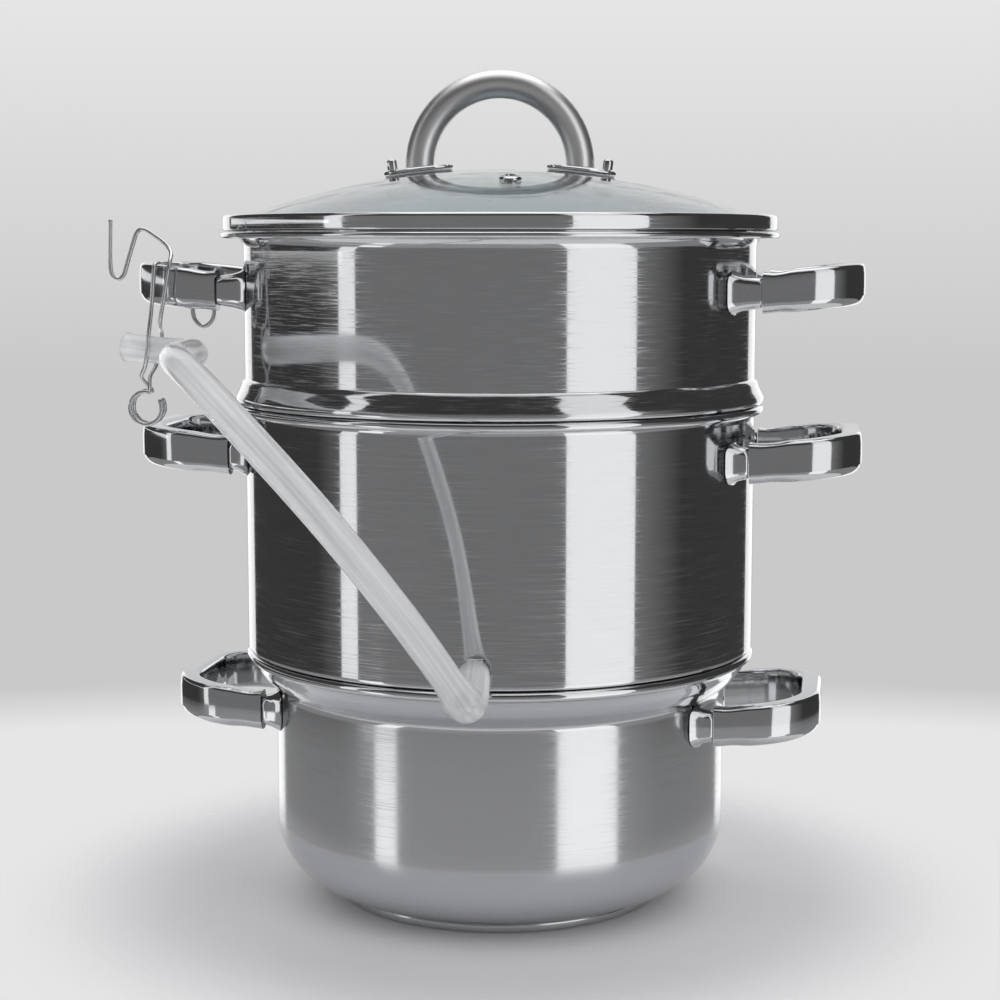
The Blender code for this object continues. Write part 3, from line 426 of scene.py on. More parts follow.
def new_piece(
    name: str,
    vertices: Sequence[Sequence[float]],
    faces: Sequence[Sequence[int]],
    uvs: Sequence[tuple[float, float]],
    finish: bpy.types.Material,
    crease: float = 38.0,
) -> bpy.types.Object:
    """Makes an object with smooth faces, sharp creases and a UV map in metres.

    Args:
        name: the object's name.
        vertices: the points.
        faces: the point numbers of each face.
        uvs: one UV for each corner of each face, in order.
        finish: the material.
        crease: the angle in degrees past which an edge stays sharp.

    Returns:
        The new object, in the scene.
    """
    mesh = bpy.data.meshes.new(name)
    mesh.from_pydata([tuple(v) for v in vertices], [], [tuple(f) for f in faces])
    layer = mesh.uv_layers.new(name="UVMap")
    layer.data.foreach_set("uv", [value for uv in uvs for value in uv])
    mesh.materials.append(finish)
    mesh.shade_smooth()
    mesh.set_sharp_from_angle(angle=math.radians(crease))
    mesh.validate()
    made = bpy.data.objects.new(name, mesh)
    bpy.context.scene.collection.objects.link(made)
    return made


def arc(centre: tuple[float, float], radius: float, start: float, end: float, steps: int) -> Profile:
    """Points of an arc, angles in degrees from the first axis to the second."""
    turns = [math.radians(start + (end - start) * step / steps) for step in range(steps + 1)]
    return [(centre[0] + radius * math.cos(t), centre[1] + radius * math.sin(t)) for t in turns]


def inner_side(path: Profile, wall: float) -> Profile:
    """The inner side of a sheet whose outer side runs down the path.

    Args:
        path: the outer side.
        wall: the sheet's thickness.

    Returns:
        A path of as many points, one wall inside it.
    """
    normals = []
    for (r0, z0), (r1, z1) in zip(path, path[1:]):
        length = math.hypot(r1 - r0, z1 - z0)
        normals.append(((z1 - z0) / length, (r0 - r1) / length))
    inner = []
    for index, (r, z) in enumerate(path):
        before = normals[max(index - 1, 0)]
        after = normals[min(index, len(normals) - 1)]
        mitre = 1 + before[0] * after[0] + before[1] * after[1]
        inner.append((max(r + wall * (before[0] + after[0]) / mitre, 0.0), z + wall * (before[1] + after[1]) / mitre))
    return inner


def sheet_profile(path: Profile, wall: float, lip: Profile | None = None) -> Profile:
    """A sheet's closed outline: up its inner side, over the lip and down its outer side."""
    return list(reversed(inner_side(path, wall))) + (lip or []) + list(path)


def held(profile: Profile, closed: bool) -> tuple[Profile, list[int]]:
    """Adds a point just inside each end of a long straight run, so that its shading stays flat.

    Args:
        profile: the points.
        closed: whether the last point joins the first.

    Returns:
        The points, and for each the number of the run that starts there.
    """
    points: Profile = []
    runs: list[int] = []
    for run, (r0, z0) in enumerate(profile):
        points.append((r0, z0))
        runs.append(run)
        if run == len(profile) - 1 and not closed:
            continue
        r1, z1 = profile[(run + 1) % len(profile)]
        length = math.hypot(r1 - r0, z1 - z0)
        if length > 0.005:
            for share in (0.0007 / length, 1 - 0.0007 / length):
                points.append((r0 + (r1 - r0) * share, z0 + (z1 - z0) * share))
                runs.append(run)
    return points, runs


def turned(
    name: str,
    profile: Profile,
    finish: bpy.types.Material,
    steps: int = 144,
    crease: float = 38.0,
    second: bpy.types.Material | None = None,
    is_second: Callable[[int], bool] | None = None,
) -> bpy.types.Object:
    """Turns a profile about Z.

    Args:
        name: the object's name.
        profile: radius and height of each point; it is closed unless both ends lie on the axis.
        finish: the material.
        steps: sides of the turn.
        crease: the angle past which an edge stays sharp.
        second: a second material, such as the inside's.
        is_second: tells from a profile segment's number whether it takes the second material.

    Returns:
        The new object.
    """
    closed = not (profile[0][0] < 1e-7 and profile[-1][0] < 1e-7)
    profile, runs = held(profile, closed)
    count = len(profile)
    lengths = [0.0]
    loop = list(profile) + ([profile[0]] if closed else [])
    for (r0, z0), (r1, z1) in zip(loop, loop[1:]):
        lengths.append(lengths[-1] + math.hypot(r1 - r0, z1 - z0))
    reach = max(r for r, _ in profile)
    vertices: list[Point] = []
    index: list[list[int]] = []
    for r, z in profile:
        if r < 1e-7:
            index.append([len(vertices)] * steps)
            vertices.append((0.0, 0.0, z))
            continue
        index.append(list(range(len(vertices), len(vertices) + steps)))
        for step in range(steps):
            angle = 2 * math.pi * (step / steps) + math.pi / 2
            vertices.append((r * math.cos(angle), r * math.sin(angle), z))
    faces, uvs, kinds = [], [], []
    for row in range(count if closed else count - 1):
        nxt = (row + 1) % count
        for step in range(steps):
            after = (step + 1) % steps
            corners = [(row, step, 0), (row, after, 1), (nxt, after, 1), (nxt, step, 0)]
            face, face_uv = [], []
            for line, place, ahead in corners:
                vertex = index[line][place]
                if vertex in face:
                    continue
                face.append(vertex)
                height = lengths[row] if line == row else lengths[row + 1]
                face_uv.append((2 * math.pi * reach * (step + ahead) / steps, height))
            faces.append(face)
            uvs.extend(face_uv)
            kinds.append(1 if is_second and is_second(runs[row]) else 0)
    made = new_piece(name, vertices, faces, uvs, finish, crease)
    if second is not None:
        made.data.materials.append(second)
        made.data.polygons.foreach_set("material_index", kinds)
    turn_outward(made)
    return made


def turn_outward(piece: bpy.types.Object) -> None:
    """Turns a closed mesh's faces outwards, by the sign of its volume.

    Args:
        piece: the piece.
    """
    mesh = piece.data
    volume = 0.0
    for face in mesh.polygons:
        corners = [mesh.vertices[i].co for i in face.vertices]
        for second, third in zip(corners[1:], corners[2:]):
            volume += corners[0].dot(second.cross(third))
    if volume < 0:
        mesh.flip_normals()


def swept(
    name: str,
    frames: Sequence[Matrix],
    sections: Sequence[Profile],
    finish: bpy.types.Material,
    crease: float = 38.0,
    hollow: Sequence[Profile] | None = None,
) -> bpy.types.Object:
    """Sweeps outlines along frames, with flat ends or, for a tube, with a bore.

    Args:
        name: the object's name.
        frames: a frame for each station; its X and Y carry the outline and Z points along.
        sections: an outline for each station, all with as many points.
        finish: the material.
        crease: the angle past which an edge stays sharp.
        hollow: the bore's outlines, for a tube.

    Returns:
        The new object.
    """
    around = len(sections[0])
    travel = [0.0]
    for one, two in zip(frames, frames[1:]):
        travel.append(travel[-1] + (two.translation - one.translation).length)
    vertices: list[Vector] = []
    faces: list[list[int]] = []
    uvs: list[tuple[float, float]] = []

    def skin(outlines: Sequence[Profile], inward: bool) -> int:
        """Adds one skin of the sweep.

        Args:
            outlines: the skin's outline at each station.
            inward: whether its faces look in, as a bore's do.

        Returns:
            The number of its first point.
        """
        first = len(vertices)
        for frame, outline in zip(frames, outlines):
            vertices.extend(frame @ Vector((x, y, 0.0)) for x, y in outline)
        outline = outlines[0]
        girth = [0.0]
        for side in range(around):
            (x0, y0), (x1, y1) = outline[side], outline[(side + 1) % around]
            girth.append(girth[-1] + math.hypot(x1 - x0, y1 - y0))
        for row in range(len(frames) - 1):
            for side in range(around):
                after = (side + 1) % around
                face = [
                    first + row * around + side,
                    first + row * around + after,
                    first + (row + 1) * around + after,
                    first + (row + 1) * around + side,
                ]
                face_uv = [
                    (travel[row], girth[side]),
                    (travel[row], girth[side + 1]),
                    (travel[row + 1], girth[side + 1]),
                    (travel[row + 1], girth[side]),
                ]
                if inward:
                    face.reverse()
                    face_uv.reverse()
                faces.append(face)
                uvs.extend(face_uv)
        return first

    outer = skin(sections, False)
    last = (len(frames) - 1) * around
    if hollow is None:
        faces.append([outer + side for side in reversed(range(around))])
        faces.append([outer + last + side for side in range(around)])
        uvs.extend(sections[0][side] for side in reversed(range(around)))
        uvs.extend(sections[-1])
    else:
        bore = skin(hollow, True)
        for side in range(around):
            after = (side + 1) % around
            faces.append([outer + after, outer + side, bore + side, bore + after])
            faces.append([outer + last + side, outer + last + after, bore + last + after, bore + last + side])
            uvs.extend([(0.0, 0.0)] * 8)
    made = new_piece(name, vertices, faces, uvs, finish, crease)
    turn_outward(made)
    return made


def smooth_route(points: Iterable[Point], step: float) -> list[Vector]:
    """Draws a smooth curve through points.

    Args:
        points: the points that it goes through.
        step: about how far apart its own points lie.

    Returns:
        The curve's points, from the first given one to the last.
    """
    places = [Vector(point) for point in points]
    ends = [2 * places[0] - places[1], *places, 2 * places[-1] - places[-2]]
    fine = []
    for before, start, end, after in zip(ends, ends[1:], ends[2:], ends[3:]):
        pieces = max(1, round((end - start).length / step))
        for piece in range(pieces):
            t = piece / pieces
            bend = (3 * start - before - 3 * end + after) * t**3
            lean = (2 * before - 5 * start + 4 * end - after) * t**2
            fine.append(start + ((end - before) * t + lean + bend) / 2)
    fine.append(places[-1])
    return fine


def eased(route: Sequence[Vector], rounds: int) -> list[Vector]:
    """Evens out a route's bends and keeps its ends.

    Args:
        route: the route's points.
        rounds: how often each point moves half way towards its neighbours' middle.

    Returns:
        As many points.
    """
    places = list(route)
    for _ in range(rounds):
        middle = [b + (a + c - 2 * b) * 0.25 for a, b, c in zip(places, places[1:], places[2:])]
        places = [places[0], places[1], *middle[1:-1], places[-2], places[-1]]
    return places


def frames_along(route: Sequence[Vector], up: Vector) -> list[Matrix]:
    """Frames that follow a route with as little twist as can be.

    Args:
        route: the points.
        up: a direction that the first frame's Y leans towards.

    Returns:
        One frame for each point, with Z along the route.
    """
    frames = []
    lean = up.copy()
    for index, place in enumerate(route):
        ahead = route[min(index + 1, len(route) - 1)] - route[max(index - 1, 0)]
        ahead.normalize()
        side = lean.cross(ahead).normalized()
        lean = ahead.cross(side).normalized()
        frame = Matrix((side, lean, ahead)).transposed().to_4x4()
        frame.translation = place
        frames.append(frame)
    return frames


def round_outline(radius: float, sides: int) -> Profile:
    """A circle's points."""
    return arc((0.0, 0.0), radius, 0, 360 - 360 / sides, sides - 1)


def soft_outline(width: float, height: float, radius: float, steps: int = 5) -> Profile:
    """A rectangle with rounded corners.

    Args:
        width: its size along the first axis.
        height: its size along the second axis.
        radius: the corners' radius.
        steps: sides of each corner.

    Returns:
        Its points, anticlockwise.
    """
    points: Profile = []
    for quarter, (sx, sy) in enumerate(((1, 1), (-1, 1), (-1, -1), (1, -1))):
        centre = (sx * (width / 2 - radius), sy * (height / 2 - radius))
        points += arc(centre, radius, 90 * quarter, 90 * quarter + 90, steps)
    return points


def wire(
    name: str, route: Sequence[Vector], radius: float, finish: bpy.types.Material, sides: int = 14
) -> bpy.types.Object:
    """A round wire with domed ends along a route.

    Args:
        name: the object's name.
        route: the wire's centre line.
        radius: the wire's radius.
        finish: the material.
        sides: sides of the wire.

    Returns:
        The new object.
    """
    frames = frames_along(route, Vector((0.0, 0.13, 1.0)))
    # how far each ring of the domed end lies from its tip, in radii, and its share of the full width
    dome = [(0.0, 0.35), (0.25, 0.75), (0.6, 0.95)]
    head = [frames[0] @ Matrix.Translation((0, 0, radius * z)) for z, _ in dome]
    tail = [frames[-1] @ Matrix.Translation((0, 0, -radius * z)) for z, _ in reversed(dome)]
    outline = round_outline(radius, sides)
    stations = head + frames[1:-1] + tail
    widths = [share for _, share in dome]
    scales = widths + [1.0] * (len(frames) - 2) + list(reversed(widths))
    sections = [[(x * share, y * share) for x, y in outline] for share in scales]
    return swept(name, stations, sections, finish, crease=80.0)


def fit(
    piece: bpy.types.Object, body: Body, nodes: Sequence[str] = (), place: Matrix | None = None
) -> bpy.types.Object:
    """Puts a piece in its place, on its body and in the room of the CAD nodes that it stands for.

    Args:
        piece: the piece.
        body: the tier that carries it.
        nodes: the CAD nodes that it replaces.
        place: where it goes, if its mesh was made about the origin.

    Returns:
        The same piece.
    """
    if place is not None:
        piece.data.transform(place)
    if nodes:
        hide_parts(*nodes)
    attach(piece, body.value)
    LOG.info("%s: %d faces on %s", piece.name, len(piece.data.polygons), body.value)
    return piece


# The tiers


@dataclass
class WaterPot:
    """The satin pot with its bright flared collar, rolled rim and encapsulated base."""

    finishes: Finishes
    radius: float = 0.098
    corner: float = 0.030
    bead: float = 0.0022
    bead_centre: float = 0.1083
    bulge_radius: float = 0.1041
    collar_height: float = 0.0125
    base_radius: float = 0.072
    base_height: float = 0.0042
    base_round: float = 0.0014

    def build(self) -> None:
        """Makes the pot and its base."""
        rim = POT_TOP_Z - 2 * self.bead
        foot = rim - self.collar_height
        path = [
            (self.bead_centre - 0.0007, rim - 0.0008),
            (self.bead_centre - 0.0016, rim - 0.0030),
            (self.bulge_radius, rim - 0.0068),
            (self.radius + 0.0036, foot + 0.0032),
            (self.radius + 0.0006, foot + 0.0004),
            (self.radius + 0.0001, foot - 0.0002),
            (self.radius, foot - 0.0020),
        ]
        body_from = len(path)
        path += arc((self.radius - self.corner, POT_FLOOR_Z + self.corner), self.corner, 0, -90, 20)
        path += [(self.base_radius - 0.008, POT_FLOOR_Z), (0.0, POT_FLOOR_Z)]
        lip = arc((self.bead_centre, POT_TOP_Z - self.bead), self.bead, 180, -90, 14)
        profile = sheet_profile(path, SHEET, lip)
        profile[0] = (0.0, POT_FLOOR_Z + SHEET)
        inner = len(path)
        satin_from = inner + len(lip) + body_from - 1
        pot = turned(
            "water_pot_shell",
            profile,
            self.finishes.wall,
            steps=160,
            second=self.finishes.satin,
            is_second=lambda row: row < inner - 2 or row >= satin_from,
        )
        fit(pot, Body.POT, ["water_pot"])
        base = [(0.0, self.base_height), (self.base_radius - self.base_round, self.base_height)]
        top = (self.base_radius - self.base_round, self.base_height - self.base_round)
        low = (self.base_radius - self.base_round, self.base_round)
        base += arc(top, self.base_round, 90, 0, 5) + arc(low, self.base_round, 0, -90, 5) + [(0.0, 0.0)]
        plate = turned("encapsulated_base", base, self.finishes.satin, steps=120)
        fit(plate, Body.POT, ["base_plate"])


@dataclass
class JuiceContainer:
    """The juice container with its steam cone, spout and hose."""

    finishes: Finishes
    radius: float = 0.110
    bead: float = 0.0021
    bead_centre: float = 0.1118
    spigot_radius: float = 0.1025
    hole_radius: float = 0.044
    corner: float = 0.0012
    cone_top: float = 0.028
    cone_base: float = 0.0428
    cone_flange: float = 0.0525
    cone_top_z: float = 0.1673
    spout_z: float = 0.1172
    spout_turn: float = math.radians(-95.0)
    face: float = 0.10958
    tube_radius: float = 0.0045
    tube_bore: float = 0.0036
    bend_radius: float = 0.0095
    inner_end: float = -0.0064
    straight_length: float = 0.0058
    dip_length: float = 0.0068
    tip_length: float = 0.0020
    dip: float = math.radians(35.0)
    climb: float = math.radians(39.3)
    veer: float = math.radians(20.0)
    # radius and distance outside the wall of the nut's and the seal's corners
    nut: tuple[tuple[float, float], ...] = (
        (0.0048, 0.0003),
        (0.0060, 0.0003),
        (0.0064, 0.0008),
        (0.0064, 0.0032),
        (0.0060, 0.0037),
        (0.0048, 0.0037),
    )
    seal: tuple[tuple[float, float], ...] = (
        (0.0048, -0.0018),
        (0.0054, -0.0018),
        (0.0054, -0.0012),
        (0.0048, -0.0012),
    )
    cuff_start: float = 0.0040
    cuff_radius: float = 0.0072
    cuff_bore: float = 0.0048
    cuff_taper: float = 0.0010
    hose_radius: float = 0.0060
    hose_bore: float = 0.0042
    hose_lead: float = 0.010
    # the stretched start, over which length it narrows, and the clamp's nip with its distance from the open end
    swell: float = 0.0013
    swell_length: float = 0.016
    nip: float = 0.13
    nip_distance: float = 0.0165
    nip_length: float = 0.0065
    hose_route: tuple[Point, ...] = (
        (-0.0297, -0.1672, 0.1423),
        (-0.0401, -0.1768, 0.1583),
        (-0.0524, -0.1803, 0.1750),
        (-0.0661, -0.1794, 0.1914),
        (-0.0804, -0.1773, 0.2071),
        (-0.0947, -0.1716, 0.2216),
        (-0.1071, -0.1586, 0.2324),
        (-0.1161, -0.1399, 0.2377),
        (-0.1226, -0.1194, 0.2391),
        (-0.1260, -0.0983, 0.2392),
        (-0.1256, -0.0745, 0.2390),
        (-0.1240, -0.0505, 0.2383),
        (-0.1261, -0.0405, 0.2378),
        (-0.1314, -0.0301, 0.2375),
        (-0.1392, -0.0214, 0.2374),
        (-0.1472, -0.0163, 0.2377),
        (-0.1592, -0.0109, 0.2388),
    )

    def hose(self) -> None:
        """Makes the hose, which is pushed over the spout and held in the clamp on the basket's handle."""
        spout = self.spout_line(0.0)
        away = (spout[-1] - spout[-2]).normalized()
        start = spout[-1] + away * FIT_GAP
        route = smooth_route([tuple(start), tuple(start + away * self.hose_lead), *self.hose_route], 0.0022)
        route = eased(route, 60)
        frames = frames_along(route, Vector((0.0, -1.0, 0.3)))
        total = sum((b - a).length for a, b in zip(route, route[1:]))
        outer, bore = [], []
        travelled = 0.0
        for index in range(len(frames)):
            if index:
                travelled += (route[index] - route[index - 1]).length
            swell = self.swell * max(0.0, 1 - travelled / self.swell_length) ** 1.5
            left = total - travelled
            pinch = self.nip * math.exp(-(((left - self.nip_distance) / self.nip_length) ** 2))
            # the cut end opens a little
            flare = 0.0004 * max(0.0, 1 - left / 0.005) ** 2
            ring = self.hose_radius + swell + flare
            hole = self.hose_bore + swell + flare
            outer.append([(x * (1 + pinch * 0.4), y * (1 - pinch)) for x, y in round_outline(ring, 28)])
            bore.append([(x * (1 + pinch * 0.4), y * (1 - pinch * 1.3)) for x, y in round_outline(hole, 28)])
        made = swept("juice_hose", frames, outer, self.finishes.hose, crease=60.0, hollow=bore)
        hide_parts("hose")
        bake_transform(made)
        LOG.info("%s: %.4f m of hose", made.name, total)

    def spout_frame(self) -> Matrix:
        """The spout's own axes: X out through the wall, Y to the viewer's right, Z up."""
        turn = Matrix.Rotation(self.spout_turn, 4, "Z")
        return Matrix.Translation((0, 0, self.spout_z)) @ turn @ Matrix.Translation((self.face, 0, 0))

    def spout_line(self, start: float, steps: int = 10) -> list[Vector]:
        """The spout's centre line, from a distance outside the wall to its tip: it dips, then climbs.

        Args:
            start: where it starts, outside the wall.
            steps: points on each bend.

        Returns:
            The points, in the row frame.
        """
        level = math.cos(self.climb)
        out = Vector((1, 0, 0))
        down = Vector((math.cos(self.dip), 0, -math.sin(self.dip)))
        heading = Vector((level * math.cos(self.veer), -level * math.sin(self.veer), math.sin(self.climb)))
        before_bend = max(start + 0.001, self.straight_length - 0.001)
        points = [out * start, out * before_bend, out * self.straight_length]
        for before, after, straight in ((out, down, self.dip_length), (down, heading, self.tip_length)):
            turn = before.angle(after)
            inward = (after - before * math.cos(turn)) / math.sin(turn)
            first = points[-1]
            for step in range(1, steps + 1):
                angle = turn * step / steps
                swing = before * math.sin(angle) + inward * (1 - math.cos(angle))
                points.append(first + swing * self.bend_radius)
            points.append(points[-1] + after * straight)
        frame = self.spout_frame()
        return [frame @ point for point in points]

    def spout(self) -> None:
        """Makes the bent spout with the nut, the seal and the hose's stretched end."""
        upright = Vector((0.0, 0.0, 1.0))
        frames = frames_along(self.spout_line(self.inner_end), upright)
        sections = [round_outline(self.tube_radius, 24)] * len(frames)
        bores = [round_outline(self.tube_bore, 24)] * len(frames)
        tube = swept("bent_spout", frames, sections, self.finishes.fitting, hollow=bores)
        fit(tube, Body.JUICE, ["spout"])
        flat = self.spout_frame() @ Matrix.Rotation(math.pi / 2, 4, "Y")
        nut = turned("spout_lock_nut", list(self.nut), self.finishes.fitting, steps=6, crease=20.0)
        fit(nut, Body.JUICE, ["spout_nut"], flat)
        seal = turned("spout_seal_ring", list(self.seal), self.finishes.gasket, steps=36)
        fit(seal, Body.JUICE, ["spout_seal"], flat)
        cuff_frames = frames_along(self.spout_line(self.cuff_start), upright)
        last = len(cuff_frames) - 1
        outer = [
            round_outline(self.cuff_radius - self.cuff_taper * (1 - index / last) ** 1.5, 28)
            for index in range(last + 1)
        ]
        inner = [round_outline(self.cuff_bore, 28)] * len(cuff_frames)
        cuff = swept("hose_stretched_end", cuff_frames, outer, self.finishes.hose, crease=60.0, hollow=inner)
        fit(cuff, Body.JUICE, ["hose_cuff"])

    def build(self) -> None:
        """Makes the vessel, its cone and its spout."""
        neck = JUICE_TOP_Z - 2 * self.bead - 0.0011
        path = [(self.radius + 0.0002, neck + 0.0006), (self.radius, neck - 0.0006)]
        path += arc((self.radius - self.corner, JUICE_SEAT_Z + self.corner), self.corner, 0, -90, 5)
        path += [(self.spigot_radius + 0.0018, JUICE_SEAT_Z), (self.spigot_radius, JUICE_FLOOR_Z)]
        path.append((self.hole_radius, JUICE_FLOOR_Z))
        lip = arc((self.bead_centre, JUICE_TOP_Z - self.bead), self.bead, 180, -90, 14)
        inner = len(path)
        vessel = turned(
            "juice_vessel_shell",
            sheet_profile(path, SHEET, lip),
            self.finishes.wall,
            steps=160,
            second=self.finishes.inside,
            is_second=lambda row: row < inner - 1,
        )
        fit(vessel, Body.JUICE, ["juice_vessel"])
        seat = JUICE_FLOOR_Z + SHEET + FIT_GAP + SHEET
        cone = [(self.cone_top, self.cone_top_z), (self.cone_base, seat + 0.0022)]
        cone += [(self.cone_base + 0.0006, seat + 0.0008), (self.cone_base + 0.0022, seat), (self.cone_flange, seat)]
        steam = turned("steam_cone_shell", sheet_profile(cone, SHEET), self.finishes.inside, steps=96)
        fit(steam, Body.JUICE, ["steam_cone"])
        self.spout()


@dataclass
class FruitBasket:
    """The fruit basket: a polished wall above its shoulder and a perforated insert below it."""

    finishes: Finishes
    radius: float = 0.110
    insert_radius: float = 0.1068
    insert_corner: float = 0.017
    flange_radius: float = 0.1183
    shoulder_radius: float = 0.1139
    slots: int = 54
    rows: int = 3
    row_pitch: float = 0.0075
    first_row: float = 0.0240
    slot_width: float = 0.0030
    slot_length: float = 0.0052
    floor_hole: float = 0.0020
    floor_rings: tuple[tuple[float, int], ...] = (
        (0.008, 12),
        (0.020, 12),
        (0.032, 24),
        (0.044, 24),
        (0.056, 48),
        (0.068, 48),
        (0.080, 48),
    )

    def perforated(
        self,
        name: str,
        cells: Iterable[tuple[float, float, float, float]],
        split: int,
        hole: tuple[float, float],
        surface: Callable[[float, float, float], Point],
        aspect: Callable[[float], float],
    ) -> bpy.types.Object:
        """A sheet made of cells with a rounded hole in each.

        Args:
            name: the object's name.
            cells: the low and high side of each cell, round and along the sheet.
            split: pieces of a whole turn, so that neighbours meet point to point.
            hole: the hole's half width and half length in metres.
            surface: gives a point from turn, place along the sheet and depth in it.
            aspect: metres in one unit of turn at a place along the sheet.

        Returns:
            The new object.
        """
        vertices: list[Point] = []
        faces: list[list[int]] = []
        uvs: list[tuple[float, float]] = []
        for low, high, near, far in cells:
            across = max(2, round((high - low) * split))
            along = 4
            edge = [(low + (high - low) * k / across, near) for k in range(across)]
            edge += [(high, near + (far - near) * k / along) for k in range(along)]
            edge += [(high - (high - low) * k / across, far) for k in range(across)]
            edge += [(low, far - (far - near) * k / along) for k in range(along)]
            middle = ((low + high) / 2, (near + far) / 2)
            metre = aspect(middle[1])
            ring = []
            for u, v in edge:
                angle = math.atan2((v - middle[1]) / (far - near), (u - middle[0]) / (high - low))
                half_w, half_l = hole
                straight = max(half_l - half_w, 0.0)
                du = half_w * math.cos(angle)
                dv = half_w * math.sin(angle) + math.copysign(straight, math.sin(angle) if math.sin(angle) else 1.0)
                ring.append((middle[0] + du / metre, middle[1] + dv))
            count = len(edge)
            first = len(vertices)
            for depth in (0.0, SHEET):
                for u, v in edge + ring:
                    vertices.append(surface(u, v, depth))
            for k in range(count):
                after = (k + 1) % count
                top = [first + k, first + after, first + count + after, first + count + k]
                low_side = [index + 2 * count for index in reversed(top)]
                wall = [first + count + k, first + count + after, first + 3 * count + after, first + 3 * count + k]
                corners = [edge[k], edge[after], ring[after], ring[k]]
                flat = [(u * metre, v) for u, v in corners]
                faces += [top, low_side, wall]
                uvs += flat + list(reversed(flat)) + [flat[3], flat[2], flat[2], flat[3]]
        return new_piece(name, vertices, faces, uvs, self.finishes.inside, crease=50.0)

    def build(self) -> None:
        """Makes the wall, the perforated insert and the perforated floor."""
        seat, flange = FRUIT_SEAT_Z, FRUIT_TOP_Z - SHEET
        path = [(self.radius + 0.0065, flange), (self.radius + 0.0035, flange - 0.0006)]
        path += [(self.radius + 0.0012, flange - 0.0022), (self.radius + 0.0002, flange - 0.0045)]
        path += [(self.radius, flange - 0.0062), (self.radius, seat + 0.0106)]
        path += [(self.radius + 0.0009, seat + 0.0098), (self.radius + 0.0014, seat + 0.0082)]
        path += [(self.radius + 0.0023, seat + 0.0058), (self.shoulder_radius - 0.0003, seat + 0.0034)]
        path += [(self.shoulder_radius, seat + 0.0020), (self.shoulder_radius, seat + 0.0008)]
        path += [(self.shoulder_radius - 0.0006, seat), (self.insert_radius + 0.0011, seat)]
        path += [(self.insert_radius + 0.0003, seat - 0.0004), (self.insert_radius, seat - 0.0012)]
        rows_low = FRUIT_FLOOR_Z + self.first_row - self.row_pitch / 2
        rows_high = rows_low + self.rows * self.row_pitch
        path.append((self.insert_radius, rows_high))
        lip = arc((self.flange_radius, FRUIT_TOP_Z - 0.00135), 0.00135, 90, -90, 8)
        inner = len(path)
        wall = turned(
            "fruit_basket_wall",
            sheet_profile(path, SHEET, lip),
            self.finishes.brushed,
            steps=162,
            second=self.finishes.inside,
            is_second=lambda row: row < inner - 1,
        )
        fit(wall, Body.FRUIT, ["fruit_basket"])

        corner = (self.insert_radius - self.insert_corner, FRUIT_FLOOR_Z + self.insert_corner)
        low = [(self.insert_radius, rows_low)] + arc(corner, self.insert_corner, 0, -90, 9)
        low.append((0.086, FRUIT_FLOOR_Z))
        base = turned("fruit_basket_corner", sheet_profile(low, SHEET), self.finishes.inside, steps=162)
        fit(base, Body.FRUIT)

        cells = []
        for row in range(self.rows):
            start = rows_low + row * self.row_pitch
            for index in range(self.slots):
                turn = (index + 0.5 * (row % 2)) / self.slots
                cells.append((turn, turn + 1 / self.slots, start, start + self.row_pitch))
        round_length = 2 * math.pi * self.insert_radius

        def wall_point(turn: float, height: float, depth: float) -> Point:
            """A point on the insert's wall.

            Args:
                turn: share of a whole turn.
                height: height above the table.
                depth: depth in the sheet.

            Returns:
                The point.
            """
            angle = 2 * math.pi * turn
            reach = self.insert_radius - depth
            return (reach * math.cos(angle), reach * math.sin(angle), height)

        band = self.perforated(
            "perforated_insert",
            cells,
            self.slots * 6,
            (self.slot_width / 2, self.slot_length / 2),
            wall_point,
            lambda _: round_length,
        )
        fit(band, Body.FRUIT)

        def floor_point(turn: float, reach: float, depth: float) -> Point:
            """A point on the basket's floor.

            Args:
                turn: share of a whole turn.
                reach: distance from the axis.
                depth: height above the floor's underside.

            Returns:
                The point.
            """
            angle = 2 * math.pi * turn
            return (reach * math.cos(angle), reach * math.sin(angle), FRUIT_FLOOR_Z + depth)

        floor_cells = []
        for reach, count in self.floor_rings:
            for index in range(count):
                near, far = reach - 0.006, reach + 0.006
                floor_cells.append((index / count, (index + 1) / count, max(near, 0.002), far))
        floor = self.perforated(
            "perforated_floor",
            floor_cells,
            192,
            (self.floor_hole, self.floor_hole),
            floor_point,
            lambda reach: 2 * math.pi * max(reach, 0.012),
        )
        fit(floor, Body.FRUIT)


